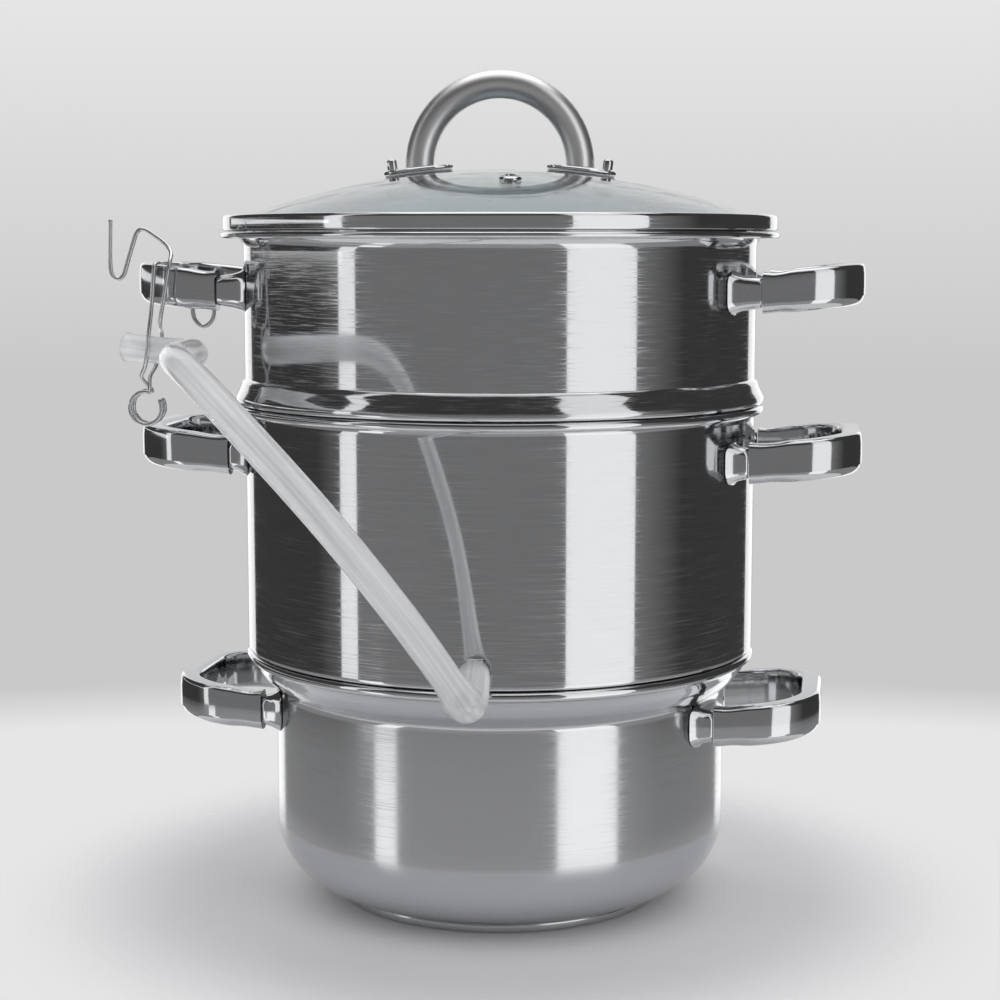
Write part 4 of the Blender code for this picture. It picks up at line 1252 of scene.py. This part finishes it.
@dataclass
class Lid:
    """The glass dome in its steel band, with the arched handle and the steam vent."""

    finishes: Finishes
    radius: float = 0.1186
    band_wall: float = 0.0007
    band_height: float = 0.0070
    glass: float = 0.0042
    glass_radius: float = 0.1173
    dome_radius: float = 0.1116
    dome_rise: float = 0.0211
    brim_z: float = 0.2889
    arch_half_span: float = 0.0340
    arch_height: float = 0.0350
    arch_radius: float = 0.0062
    foot_sheet: float = 0.0014
    pad_sheet: float = 0.0008
    bolt_offset: float = 0.0115
    bolt_radius: float = 0.0015
    head_radius: float = 0.0023
    head_height: float = 0.0042
    nut_height: float = 0.0022
    vent_distance: float = 0.060
    vent_turn: float = math.radians(-86.0)
    sphere: float = field(init=False)
    top_z: float = field(init=False)

    def __post_init__(self) -> None:
        """Works out the dome's sphere."""
        self.sphere = (self.dome_radius**2 + self.dome_rise**2) / (2 * self.dome_rise)
        self.top_z = self.brim_z + self.glass + self.dome_rise

    def on_dome(self, distance: float, turn: float) -> Matrix:
        """Axes on the glass: Z along its normal, X outwards down the slope.

        Args:
            distance: how far from the lid's axis.
            turn: the direction from the axis.

        Returns:
            The axes.
        """
        tilt = math.asin(distance / self.sphere)
        centre = Matrix.Translation((0, 0, self.top_z - self.sphere))
        out = Matrix.Translation((0, 0, self.sphere))
        return centre @ Matrix.Rotation(turn, 4, "Z") @ Matrix.Rotation(tilt, 4, "Y") @ out

    def dome(self) -> None:
        """Makes the glass and its band."""
        slope = math.degrees(math.asin(self.dome_radius / self.sphere))
        centre = (0.0, self.top_z - self.sphere)
        top = arc(centre, self.sphere, 90, 90 - slope, 28)
        top[0] = (0.0, self.top_z)
        brim_top = self.brim_z + self.glass
        brim = arc((self.glass_radius - 0.0012, brim_top - 0.0012), 0.0012, 90, 0, 4)
        brim += arc((self.glass_radius - 0.0012, self.brim_z + 0.0012), 0.0012, 0, -90, 4)
        under = arc(centre, self.sphere - self.glass, 90 - slope, 90, 28)
        under[0] = (under[0][0], self.brim_z)
        under[-1] = (0.0, self.top_z - self.glass)
        glass = turned("lid_glass_dome", top + brim + under, self.finishes.glass, steps=160)
        fit(glass, Body.LID, ["lid_glass"])
        top_z = BAND_Z + self.band_height
        band = [(0.1122, top_z - 0.0003), (0.1128, top_z)]
        band += arc((self.radius - 0.0016, top_z - 0.0016), 0.0016, 90, 0, 5)
        band += arc((self.radius - 0.0012, BAND_Z + 0.0012), 0.0012, 0, -90, 5)
        band += [(0.1086, BAND_Z), (0.1086, BAND_Z - 0.0045)]
        ring = turned("lid_rim_band", sheet_profile(band, self.band_wall), self.finishes.wall, steps=160)
        fit(ring, Body.LID, ["lid_band"])

    def vent(self) -> None:
        """Makes the eyelet in the glass."""
        back = -self.glass - FIT_GAP
        outline = [(0.0019, 0.0014), (0.0022, 0.0019), (0.0028, 0.0020), (0.0040, 0.0016), (0.0046, 0.0010)]
        outline += [(0.0047, 0.0006), (0.0046, FIT_GAP), (0.0028, FIT_GAP), (0.0028, back), (0.0041, back)]
        outline += [(0.0041, back - 0.0008), (0.0019, back - 0.0008)]
        eyelet = turned("steam_vent_eyelet", outline, self.finishes.fitting, steps=40)
        fit(eyelet, Body.LID, ["steam_vent"], self.on_dome(self.vent_distance, self.vent_turn))

    def plate(
        self, name: str, inset: float, low: float, high: float, finish: bpy.types.Material
    ) -> bpy.types.Object:
        """A leaf-shaped foot that lies on the dome: round at the bolt and pointed towards the middle.

        Args:
            name: the object's name.
            inset: how far it stays inside the steel foot's outline.
            low: its underside above the glass.
            high: its top above the glass.
            finish: the material.

        Returns:
            The plate, made about the foot's own axes.
        """
        outline: Profile = []
        steps = 40
        for step in range(steps):
            angle = 2 * math.pi * step / steps
            x = math.cos(angle)
            y = math.sin(angle)
            reach = 0.0155 if x > 0 else 0.0145
            width = 0.0074 if x < 0 else 0.0074 - 0.0016 * x
            outline.append(((reach - inset) * x + 0.0002, (width - inset) * y))
        rings = []
        edge = min(0.0004, (high - low) / 3)
        for height, shrink in ((low, edge), (low + edge, 0.0), (high - edge, 0.0), (high, edge)):
            ring = []
            for x, y in outline:
                scale = 1 - shrink / max(math.hypot(x, y), 1e-6)
                sag = (x * x + y * y) / (2 * self.sphere)
                ring.append(Vector((x * scale, y * scale, height - sag)))
            rings.append(ring)
        vertices = [place for ring in rings for place in ring]
        faces: list[list[int]] = []
        for row in range(len(rings) - 1):
            for k in range(steps):
                after = (k + 1) % steps
                faces.append(
                    [row * steps + k, row * steps + after, (row + 1) * steps + after, (row + 1) * steps + k]
                )
        faces.append(list(reversed(range(steps))))
        faces.append([(len(rings) - 1) * steps + k for k in range(steps)])
        uvs = [(vertices[i].x, vertices[i].y) for face in faces for i in face]
        made = new_piece(name, vertices, faces, uvs, finish, crease=30.0)
        turn_outward(made)
        return made

    def handle(self) -> None:
        """Makes the arch and what holds it down at each foot."""
        gasket_z = FIT_GAP
        foot_z = gasket_z + self.pad_sheet + FIT_GAP
        tube_z = foot_z + self.foot_sheet + FIT_GAP
        head_z = tube_z + self.bolt_offset**2 / (2 * self.sphere)
        washer_z = -self.glass - FIT_GAP - self.pad_sheet
        nut_z = washer_z - FIT_GAP - self.nut_height
        for side, turn in (("right", 0.0), ("left", math.pi)):
            frame = self.on_dome(self.arch_half_span, turn)
            angle = math.asin(self.arch_half_span / self.sphere) + self.bolt_offset / self.sphere
            at_bolt = self.on_dome(self.sphere * math.sin(angle), turn)
            fitting, rubber = self.finishes.fitting, self.finishes.gasket
            foot = self.plate(f"lid_foot_plate_{side}", 0.0, foot_z, foot_z + self.foot_sheet, fitting)
            fit(foot, Body.LID, [f"lid_foot_{side}"], frame)
            pad = self.plate(f"lid_gasket_pad_{side}", 0.0006, gasket_z, gasket_z + self.pad_sheet, rubber)
            fit(pad, Body.LID, [f"lid_gasket_{side}"], frame)
            top = head_z + self.head_height
            head = [(0.0, top), (self.head_radius - 0.0006, top), (self.head_radius - 0.0001, top - 0.0004)]
            head += [(self.head_radius, top - 0.0008), (self.head_radius, head_z), (self.bolt_radius, head_z)]
            head += [(self.bolt_radius, nut_z - 0.0006), (0.0, nut_z - 0.0006)]
            bolt = turned(f"lid_cap_bolt_{side}", head, fitting, steps=32)
            fit(bolt, Body.LID, [f"lid_bolt_{side}"], at_bolt)
            washer_top = washer_z + self.pad_sheet
            ring = [(0.0018, washer_z), (0.0048, washer_z), (0.0048, washer_top), (0.0018, washer_top)]
            washer = turned(f"lid_soft_washer_{side}", ring, rubber, steps=32)
            fit(washer, Body.LID, [f"lid_washer_{side}"], at_bolt)
            nut_top = nut_z + self.nut_height
            hexagon = [(0.0018, nut_z), (0.0030, nut_z), (0.0034, nut_z + 0.0004), (0.0034, nut_top - 0.0004)]
            hexagon += [(0.0030, nut_top), (0.0018, nut_top)]
            nut = turned(f"lid_hex_nut_{side}", hexagon, fitting, steps=6, crease=20.0)
            fit(nut, Body.LID, [f"lid_nut_{side}"], at_bolt)
        foot_top = self.on_dome(self.arch_half_span, 0.0) @ Vector((0, 0, tube_z))
        route = []
        for step in range(65):
            angle = math.pi * step / 64
            x = foot_top.x * math.cos(angle)
            route.append(Vector((x, 0.0, foot_top.z + self.arch_height * math.sin(angle))))
        frames = frames_along(route, Vector((1.0, 0.0, 0.0)))
        tilt = math.asin(self.arch_half_span / self.sphere)
        for index, sign in ((0, 1.0), (-1, -1.0)):
            level = Matrix.Rotation(sign * tilt, 4, "Y")
            flat = level @ frames[index].to_3x3().to_4x4()
            flat.translation = frames[index].translation
            frames[index] = flat
        sections = [round_outline(self.arch_radius, 32)] * len(frames)
        arch = swept("lid_arch_handle", frames, sections, self.finishes.arch)
        fit(arch, Body.LID, ["lid_handle"])

    def build(self) -> None:
        """Makes the whole lid."""
        self.dome()
        self.vent()
        self.handle()


@dataclass
class SideHandles:
    """The two strap handles of one tier with their welded brackets."""

    finishes: Finishes
    tier: str
    body: Body
    wall: float
    reach: float
    height_z: float
    bracket: float
    turn: float = math.radians(-9.5)
    half_span: float = 0.039
    thickness: float = 0.0085
    height: float = 0.0170
    corner: float = 0.024
    rise: float = 0.0030
    bracket_height: float = 0.0155
    bracket_width: float = 0.0100

    def stations(self) -> list[tuple[float, float, float, float]]:
        """The handle's centre line, from one bracket to the other.

        Returns:
            For each station: out, across, and the shares of the section's width and height.
        """
        start = math.sqrt(self.wall**2 - self.half_span**2) + self.bracket
        bend = self.reach - self.thickness / 2 - self.corner
        arm = []
        for step in range(12):
            share = step / 12
            waist = math.sin(math.pi * min(share * 1.05, 1.0)) ** 1.2
            arm.append((start + (bend - start) * share, -self.half_span, 1 - 0.10 * waist, 1 - 0.06 * waist))
        centre = (bend, -self.half_span + self.corner)
        arm += [(x, y, 1.0, 1.0) for x, y in arc(centre, self.corner, -90, 0, 14)]
        bar = [(self.reach - self.thickness / 2, y / 1000, 1.0, 1.0) for y in range(-15, 16, 3)]
        return arm + bar[1:-1] + [(x, -y, w, h) for x, y, w, h in reversed(arm)]

    def section(self) -> Profile:
        """The strap's outline: a tight upper edge and a full round along the lower outer edge.

        Returns:
            The points, anticlockwise.
        """
        corners = ((1, 1, 0.0024), (-1, 1, 0.0021), (-1, -1, 0.0052), (1, -1, 0.0028))
        points: Profile = []
        for quarter, (sx, sy, edge) in enumerate(corners):
            centre = (sx * (self.thickness / 2 - edge), sy * (self.height / 2 - edge))
            radius = min(edge, self.thickness / 2 - 0.0001)
            if edge > radius:
                centre = (sx * (self.thickness / 2 - radius), sy * (self.height / 2 - edge))
            turns = [math.radians(90 * quarter + 15 * step) for step in range(7)]
            points += [(centre[0] + radius * math.cos(t), centre[1] + edge * math.sin(t)) for t in turns]
            if quarter in (1, 3):
                # rolled strip bulges a little between its edges
                below = sy * (self.height / 2) * 0.5
                bulge = sx * (self.thickness / 2 + 0.00035)
                points += [(bulge * share, y) for y, share in ((below, 0.985), (0.0, 1.0), (-below, 0.985))]
        return points

    def strap(self, name: str, place: Matrix) -> bpy.types.Object:
        """Makes one strap.

        Args:
            name: the object's name.
            place: where the tier's handle frame lies.

        Returns:
            The strap.
        """
        stations = self.stations()
        level = stations[0][0]
        bar = self.reach - self.thickness / 2
        outline = self.section()
        frames, sections = [], []
        for index, (x, y, wide, high) in enumerate(stations):
            before = stations[max(index - 1, 0)]
            after = stations[min(index + 1, len(stations) - 1)]
            ahead = Vector((after[0] - before[0], after[1] - before[1], 0)).normalized()
            up = Vector((0, 0, 1))
            side = up.cross(ahead)
            frame = Matrix((side, up, ahead)).transposed().to_4x4()
            frame.translation = (x, y, self.rise * max(x - level - 0.004, 0) / (bar - level - 0.004))
            frames.append(place @ frame)
            crown = 0.0006 * (1 - abs(2 * index / (len(stations) - 1) - 1))
            sections.append([(px * wide, py * high + crown * (1 if py > 0 else 0)) for px, py in outline])
        return swept(name, frames, sections, self.finishes.handle, crease=50.0)

    def welded_bracket(self, name: str, place: Matrix, side: int) -> bpy.types.Object:
        """Makes the tapered pad between the wall and one end of the strap.

        Args:
            name: the object's name.
            place: where the tier's handle frame lies.
            side: 1 or -1, for the end across the handle.

        Returns:
            The bracket.
        """
        wall = math.sqrt(self.wall**2 - self.half_span**2)
        tip = wall + self.bracket - FIT_GAP
        frames, sections = [], []
        # along the bracket: the share of its length, and of its width and height there
        for share, wide, high in (
            (0.0, 1.28, 1.16),
            (0.05, 1.16, 1.10),
            (0.14, 1.03, 1.02),
            (0.35, 0.93, 0.93),
            (0.7, 0.84, 0.86),
            (0.94, 0.79, 0.80),
            (1.0, 0.74, 0.76),
        ):
            frame = Matrix(((0, 1, 0), (0, 0, 1), (1, 0, 0))).transposed().to_4x4()
            frame.translation = (wall + 0.0004 + (tip - wall - 0.0004) * share, side * self.half_span, 0)
            frames.append(place @ frame)
            width, height = self.bracket_width * wide, self.bracket_height * high
            sections.append(soft_outline(width, height, min(width, height) * 0.42, 5))
        made = swept(name, frames, sections, self.finishes.fitting, crease=50.0)
        # the welded face follows the round wall
        around = len(sections[0])
        inverse = place.inverted()
        for vertex in made.data.vertices[: 2 * around]:
            local = inverse @ vertex.co
            round_x = math.sqrt(max((self.wall + 0.0003) ** 2 - local.y**2, 0.0))
            local.x += (round_x - wall - 0.0004) * (1.0 if vertex.index < around else 0.9)
            vertex.co = place @ local
        return made

    def build(self) -> None:
        """Makes both handles of the tier."""
        ends = (("right", 0.0, "rear", "front"), ("left", math.pi, "front", "rear"))
        for side, half_turn, plus, minus in ends:
            place = Matrix.Translation((0, 0, self.height_z)) @ Matrix.Rotation(self.turn + half_turn, 4, "Z")
            strap = self.strap(f"{self.tier}_strap_{side}", place)
            fit(strap, self.body, [f"{self.tier}_handle_{side}"])
            for end, sign in ((plus, 1), (minus, -1)):
                pad = self.welded_bracket(f"{self.tier}_pad_{side}_{end}", place, sign)
                fit(pad, self.body, [f"{self.tier}_bracket_{side}_{end}"])


@dataclass
class HoseClamp:
    """Two bent spring wires: they hang on the basket's left handle, pinch the hose and end in finger rings."""

    finishes: Finishes
    radius: float = 0.0009
    ring: float = 0.0070
    ring_centre: tuple[float, float] = (-0.1503, 0.2134)
    ring_lean: float = math.radians(9.5)
    spring: tuple[Point, ...] = (
        (-0.1215, -0.0136, 0.2660),
        (-0.1215, -0.0136, 0.2570),
        (-0.1225, -0.0134, 0.2505),
        (-0.1262, -0.0130, 0.2477),
        (-0.1300, -0.0124, 0.2505),
        (-0.1312, -0.0120, 0.2570),
        (-0.1316, -0.0117, 0.2680),
        (-0.1324, -0.0128, 0.2728),
        (-0.1350, -0.0152, 0.2739),
        (-0.1400, -0.0162, 0.2744),
        (-0.1442, -0.0176, 0.2749),
        (-0.1456, -0.0200, 0.2735),
        (-0.1460, -0.0208, 0.2690),
        (-0.1470, -0.0218, 0.2550),
        (-0.1480, -0.0238, 0.2450),
        (-0.1486, -0.0242, 0.2380),
        (-0.1500, -0.0224, 0.2312),
        (-0.1523, -0.0172, 0.2262),
    )
    hook: tuple[Point, ...] = (
        (-0.1646, -0.0150, 0.2930),
        (-0.1650, -0.0150, 0.2800),
        (-0.1649, -0.0150, 0.2720),
        (-0.1638, -0.0150, 0.2688),
        (-0.1617, -0.0150, 0.2678),
        (-0.1595, -0.0150, 0.2695),
        (-0.1580, -0.0150, 0.2740),
        (-0.1555, -0.0150, 0.2820),
        (-0.1536, -0.0150, 0.2872),
        (-0.1510, -0.0150, 0.2888),
        (-0.1470, -0.0150, 0.2866),
        (-0.1418, -0.0154, 0.2828),
        (-0.1394, -0.0168, 0.2800),
        (-0.1386, -0.0196, 0.2776),
        (-0.1390, -0.0224, 0.2740),
        (-0.1400, -0.0234, 0.2680),
        (-0.1418, -0.0234, 0.2580),
        (-0.1432, -0.0220, 0.2508),
        (-0.1438, -0.0180, 0.2474),
        (-0.1442, -0.0128, 0.2462),
        (-0.1447, -0.0098, 0.2425),
        (-0.1457, -0.0092, 0.2370),
        (-0.1474, -0.0104, 0.2306),
        (-0.1490, -0.0160, 0.2262),
    )

    def ring_points(self, y: float) -> list[Point]:
        """The finger ring at a wire's end, in the plane of the handle's arm.

        Args:
            y: where the ring's middle lies, from front to back.

        Returns:
            The ring's points, which stay open by an eighth of a turn.
        """
        points = []
        for step in range(25):
            angle = math.radians(75.0 + 318.0 * step / 24)
            reach = self.ring * math.cos(angle)
            x = self.ring_centre[0] + reach * math.cos(self.ring_lean)
            across = y - reach * math.sin(self.ring_lean)
            points.append((x, across, self.ring_centre[1] + self.ring * math.sin(angle)))
        return points

    def build(self) -> None:
        """Makes both wires."""
        for name, points, y, replaced in (
            ("clamp_spring", self.spring, -0.0120, "clamp_spring_wire"),
            ("clamp_hook", self.hook, -0.0210, "clamp_hook_wire"),
        ):
            route = smooth_route([*points, *self.ring_points(y)], 0.0011)
            made = wire(name, route, self.radius, self.finishes.wire)
            fit(made, Body.FRUIT, [replaced])


# The studio


class CardGlow(Enum):
    """The grades of studio card, by how bright they glow: painted light in place of the share that lit grey cards
    would give back.
    """

    DARK = 0.05
    MIDDLE = 0.22
    LIGHT = 0.5


@dataclass
class Studio:
    """A pale table that fades into the backdrop, soft boxes, cards that glow with painted grey light, and the camera.
    """

    table_colour: str = "DADADC"
    fill_colour: str = "ECECEE"
    table_radius: float = 0.95
    fade_from: float = 0.10
    fade_to: float = 0.23
    card_radius: float = 2.2
    card_low: float = -1.6
    card_high: float = 3.2
    eye: Point = (0.0, -0.915, 0.285)
    target: Point = (0.0, 0.0, 0.1715)
    lens: float = 76.0
    # each soft box: its name, degrees from the front towards the right, how many degrees of the round it fills, how
    # bright a mirror shows it (1 for white), and the heights of its lower and upper edge
    boxes: tuple[tuple[str, float, float, float, float, float], ...] = (
        ("narrow box left", -67.5, 8.6, 1.0, -0.25, 2.25),
        ("low box left", -57.5, 12.0, 1.0, -1.15, -0.27),
        ("wide box right", 43.5, 31.5, 1.0, -1.15, 2.25),
        ("lid box left", -105.0, 70.0, 1.0, 0.27, 0.38),
        ("edge box left", -150.0, 16.0, 0.9, -1.15, 2.25),
        ("edge box right", 150.0, 16.0, 0.9, -1.15, 2.25),
    )
    box_distance: float = 1.7
    overhead_size: tuple[float, float] = (1.5, 1.1)
    overhead_place: Point = (0.1, 0.10, 1.75)
    overhead_brightness: float = 0.9
    # the paper backdrop, by how steeply one looks: the table's white goes on below the horizon, with grey paper that
    # grows lighter above it
    paper_rise: tuple[float, float] = (-0.30, 0.11)
    paper: tuple[tuple[float, str], ...] = (
        (0.0, "E6E6E6"),
        (0.185, "E6E6E6"),
        (0.23, "C9C9C9"),
        (0.58, "C9C9C9"),
        (1.0, "E6E6E6"),
    )
    # one middle-grey card in front, a dark flag on each side and light cards behind, the same to the left and to the
    # right: how many degrees from the front each grade starts or ends
    card_turns: tuple[tuple[float, CardGlow], ...] = (
        (60.0, CardGlow.MIDDLE),
        (85.0, CardGlow.DARK),
        (140.0, CardGlow.DARK),
        (158.0, CardGlow.LIGHT),
    )
    # painted bounce light: how far the foot of the cards glows lighter, in place of the table lighting it, and the
    # heights between which that fades
    painted_bounce_light: float = 0.55
    painted_bounce_heights: tuple[float, float] = (-0.42, -0.36)
    # painted shade: the heights between which the cards glow dark, which the basket's sloping shoulder mirrors
    painted_shade_heights: tuple[float, float] = (0.6, 1.1)

    def camera(self) -> None:
        """Sets the camera at the photograph's viewing angle."""
        data = bpy.data.cameras.new("camera")
        data.lens = self.lens
        data.sensor_width = 36.0
        data.clip_start = 0.01
        made = bpy.data.objects.new("camera", data)
        made.location = self.eye
        look = Vector(self.target) - Vector(self.eye)
        made.rotation_euler = look.to_track_quat("-Z", "Y").to_euler()
        bpy.context.scene.collection.objects.link(made)
        bpy.context.scene.camera = made

    def area_light(self, name: str, size: tuple[float, float], brightness: float, place: Point) -> bpy.types.Object:
        """A flat soft box that looks down.

        Args:
            name: the lamp's name.
            size: its width and height.
            brightness: how bright a mirror shows it, 1 for white.
            place: its middle.

        Returns:
            The lamp, in the scene.
        """
        data = bpy.data.lights.new(name, "AREA")
        data.shape = "RECTANGLE"
        data.size, data.size_y = size
        data.energy = brightness * math.pi * data.size * data.size_y
        made = bpy.data.objects.new(name, data)
        made.location = place
        bpy.context.scene.collection.objects.link(made)
        return made

    def lights(self) -> None:
        """Sets the soft boxes that draw the bands on the steel, and one overhead."""
        for name, azimuth, width, brightness, low, high in self.boxes:
            angle = math.radians(azimuth)
            across = 2 * self.box_distance * math.tan(math.radians(width / 2))
            place = (self.box_distance * math.sin(angle), -self.box_distance * math.cos(angle), (low + high) / 2)
            made = self.area_light(name, (across, high - low), brightness, place)
            made.rotation_euler = (math.radians(90), 0, angle)
        self.area_light("overhead box", self.overhead_size, self.overhead_brightness, self.overhead_place)

    def world(self) -> None:
        """Sets the pale backdrop, which camera, glass and steel see alike, and a dimmer fill light."""
        world = bpy.data.worlds.new("studio")
        bpy.context.scene.world = world
        world.use_nodes = True
        tree = world.node_tree
        background = next(n for n in tree.nodes if n.type == "BACKGROUND")
        path = node(tree, "ShaderNodeLightPath")
        direction = node(tree, "ShaderNodeTexCoord").outputs["Generated"]
        axes = node(tree, "ShaderNodeSeparateXYZ", {0: direction})
        low, high = self.paper_rise
        rise = node(tree, "ShaderNodeMapRange", {"Value": axes.outputs["Z"], "From Min": low, "From Max": high})
        paper = node(tree, "ShaderNodeValToRGB", {"Fac": rise.outputs["Result"]})
        elements = paper.color_ramp.elements
        while len(elements) < len(self.paper):
            elements.new(0.5)
        for element, (place, code) in zip(elements, self.paper):
            element.position = place
            element.color = linear(code)
        seen = node(
            tree,
            "ShaderNodeMath",
            {0: path.outputs["Is Camera Ray"], 1: path.outputs["Is Transmission Ray"]},
            operation="MAXIMUM",
        )
        shown = node(
            tree, "ShaderNodeMath", {0: seen.outputs[0], 1: path.outputs["Is Glossy Ray"]}, operation="MAXIMUM"
        )
        colour = node(
            tree,
            "ShaderNodeMix",
            {"Factor": shown.outputs[0], "A": linear(self.fill_colour), "B": paper.outputs["Color"]},
            data_type="RGBA",
        )
        tree.links.new(colour.outputs["Result"], background.inputs["Color"])
        background.inputs["Strength"].default_value = 1.0

    def cards(self) -> None:
        """Stands cards round the object, open at the back, that glow with painted grey light; the polished walls
        mirror them as dark bands.
        """
        material, tree, _ = blank_material("card wall with painted glow")
        output = next(n for n in tree.nodes if n.type == "OUTPUT_MATERIAL")
        place = node(tree, "ShaderNodeTexCoord").outputs["Object"]
        axes = node(tree, "ShaderNodeSeparateXYZ", {0: place})
        away = node(tree, "ShaderNodeMath", {0: axes.outputs["Y"], 1: -1.0}, operation="MULTIPLY")
        angle = node(tree, "ShaderNodeMath", {0: axes.outputs["X"], 1: away.outputs[0]}, operation="ARCTAN2")
        turn = node(
            tree, "ShaderNodeMapRange", {"Value": angle.outputs[0], "From Min": -math.pi, "From Max": math.pi}
        )
        ramp = node(tree, "ShaderNodeValToRGB", {"Fac": turn.outputs["Result"]})
        elements = ramp.color_ramp.elements
        stops = [(-degrees, grade) for degrees, grade in reversed(self.card_turns)] + list(self.card_turns)
        while len(elements) < len(stops):
            elements.new(0.5)
        for element, (degrees, grade) in zip(elements, stops):
            element.position = degrees / 360 + 0.5
            element.color = (grade.value, grade.value, grade.value, 1.0)
        # painted bounce light: the foot of the cards glows lighter, standing in for light from the table
        foot = node(
            tree,
            "ShaderNodeMapRange",
            {
                "Value": axes.outputs["Z"],
                "From Min": self.painted_bounce_heights[0],
                "From Max": self.painted_bounce_heights[1],
                "To Min": self.painted_bounce_light,
                "To Max": 0.0,
            },
        )
        light = (CardGlow.LIGHT.value,) * 3 + (1.0,)
        mixed = node(
            tree,
            "ShaderNodeMix",
            {"Factor": foot.outputs["Result"], "A": ramp.outputs["Color"], "B": light},
            data_type="RGBA",
        ).outputs["Result"]
        # painted shade: the cards glow darker higher up
        low, high = self.painted_shade_heights
        lift = node(tree, "ShaderNodeMapRange", {"Value": axes.outputs["Z"], "From Min": low, "From Max": high})
        mixed = node(
            tree,
            "ShaderNodeMix",
            {"Factor": lift.outputs["Result"], "A": mixed, "B": (CardGlow.DARK.value,) * 3 + (1.0,)},
            data_type="RGBA",
        ).outputs["Result"]
        # the cards' grey is painted glow: an emission that stands in for grey cards lit by the studio
        glow = node(tree, "ShaderNodeEmission", {"Color": mixed, "Strength": 1.0})
        tree.links.new(glow.outputs[0], output.inputs["Surface"])
        steps, half = 79, math.radians(self.card_turns[-1][0])
        vertices, faces, uvs = [], [], []
        for step in range(steps + 1):
            turn_to = -half + 2 * half * step / steps
            x, y = self.card_radius * math.sin(turn_to), -self.card_radius * math.cos(turn_to)
            vertices += [(x, y, self.card_low), (x, y, self.card_high)]
        for step in range(steps):
            faces.append([2 * step, 2 * step + 1, 2 * step + 3, 2 * step + 2])
            uvs += [(0.0, 0.0), (0.0, 1.0), (1.0, 1.0), (1.0, 0.0)]
        wall = new_piece("card_wall", vertices, faces, uvs, material)
        # the cards shape what the steel mirrors and take no light from the rest
        wall.visible_camera = False
        wall.visible_transmission = False
        wall.visible_diffuse = False
        wall.visible_shadow = False

    def table(self) -> None:
        """Makes the table top, which fades away from the object."""
        material, tree, shader = blank_material("matt white laminate")
        output = next(n for n in tree.nodes if n.type == "OUTPUT_MATERIAL")
        shader.inputs["Base Color"].default_value = linear(self.table_colour)
        shader.inputs["Roughness"].default_value = 0.55
        place = node(tree, "ShaderNodeTexCoord").outputs["Object"]
        reach = node(tree, "ShaderNodeVectorMath", {0: place}, operation="LENGTH")
        fade = node(
            tree,
            "ShaderNodeMapRange",
            {"Value": reach.outputs["Value"], "From Min": self.fade_from, "From Max": self.fade_to},
            interpolation_type="SMOOTHSTEP",
        )
        clear = node(tree, "ShaderNodeBsdfTransparent")
        mixed = node(
            tree,
            "ShaderNodeMixShader",
            {0: fade.outputs["Result"], 1: shader.outputs[0], 2: clear.outputs[0]},
        )
        tree.links.new(mixed.outputs[0], output.inputs["Surface"])
        rings = [(0.0, -0.0006), (self.table_radius, -0.0006), (self.table_radius, -0.0002), (0.0, -0.0002)]
        top = turned("table", rings, material, steps=96)

    def build(self) -> None:
        """Makes light, backdrop and table."""
        bpy.context.scene.view_settings.view_transform = "Standard"
        self.world()
        self.cards()
        self.lights()
        self.table()


def main() -> None:
    """Builds the looks piece by piece."""
    logging.basicConfig(level=logging.INFO, format="%(name)s %(message)s")
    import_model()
    studio = Studio()
    studio.camera()
    finishes = Finishes()
    juice = JuiceContainer(finishes)
    juice.hose()
    juice.build()
    WaterPot(finishes).build()
    FruitBasket(finishes).build()
    Lid(finishes).build()
    SideHandles(finishes, "pot", Body.POT, 0.098, 0.140, POT_TOP_Z - 0.0262, 0.0070).build()
    SideHandles(finishes, "juice", Body.JUICE, 0.110, 0.155, JUICE_TOP_Z - 0.0218, 0.0070).build()
    SideHandles(finishes, "fruit", Body.FRUIT, 0.110, 0.155, FRUIT_TOP_Z - 0.0246, 0.0115).build()
    HoseClamp(finishes).build()
    studio.build()


if __name__ == "__main__":
    main()
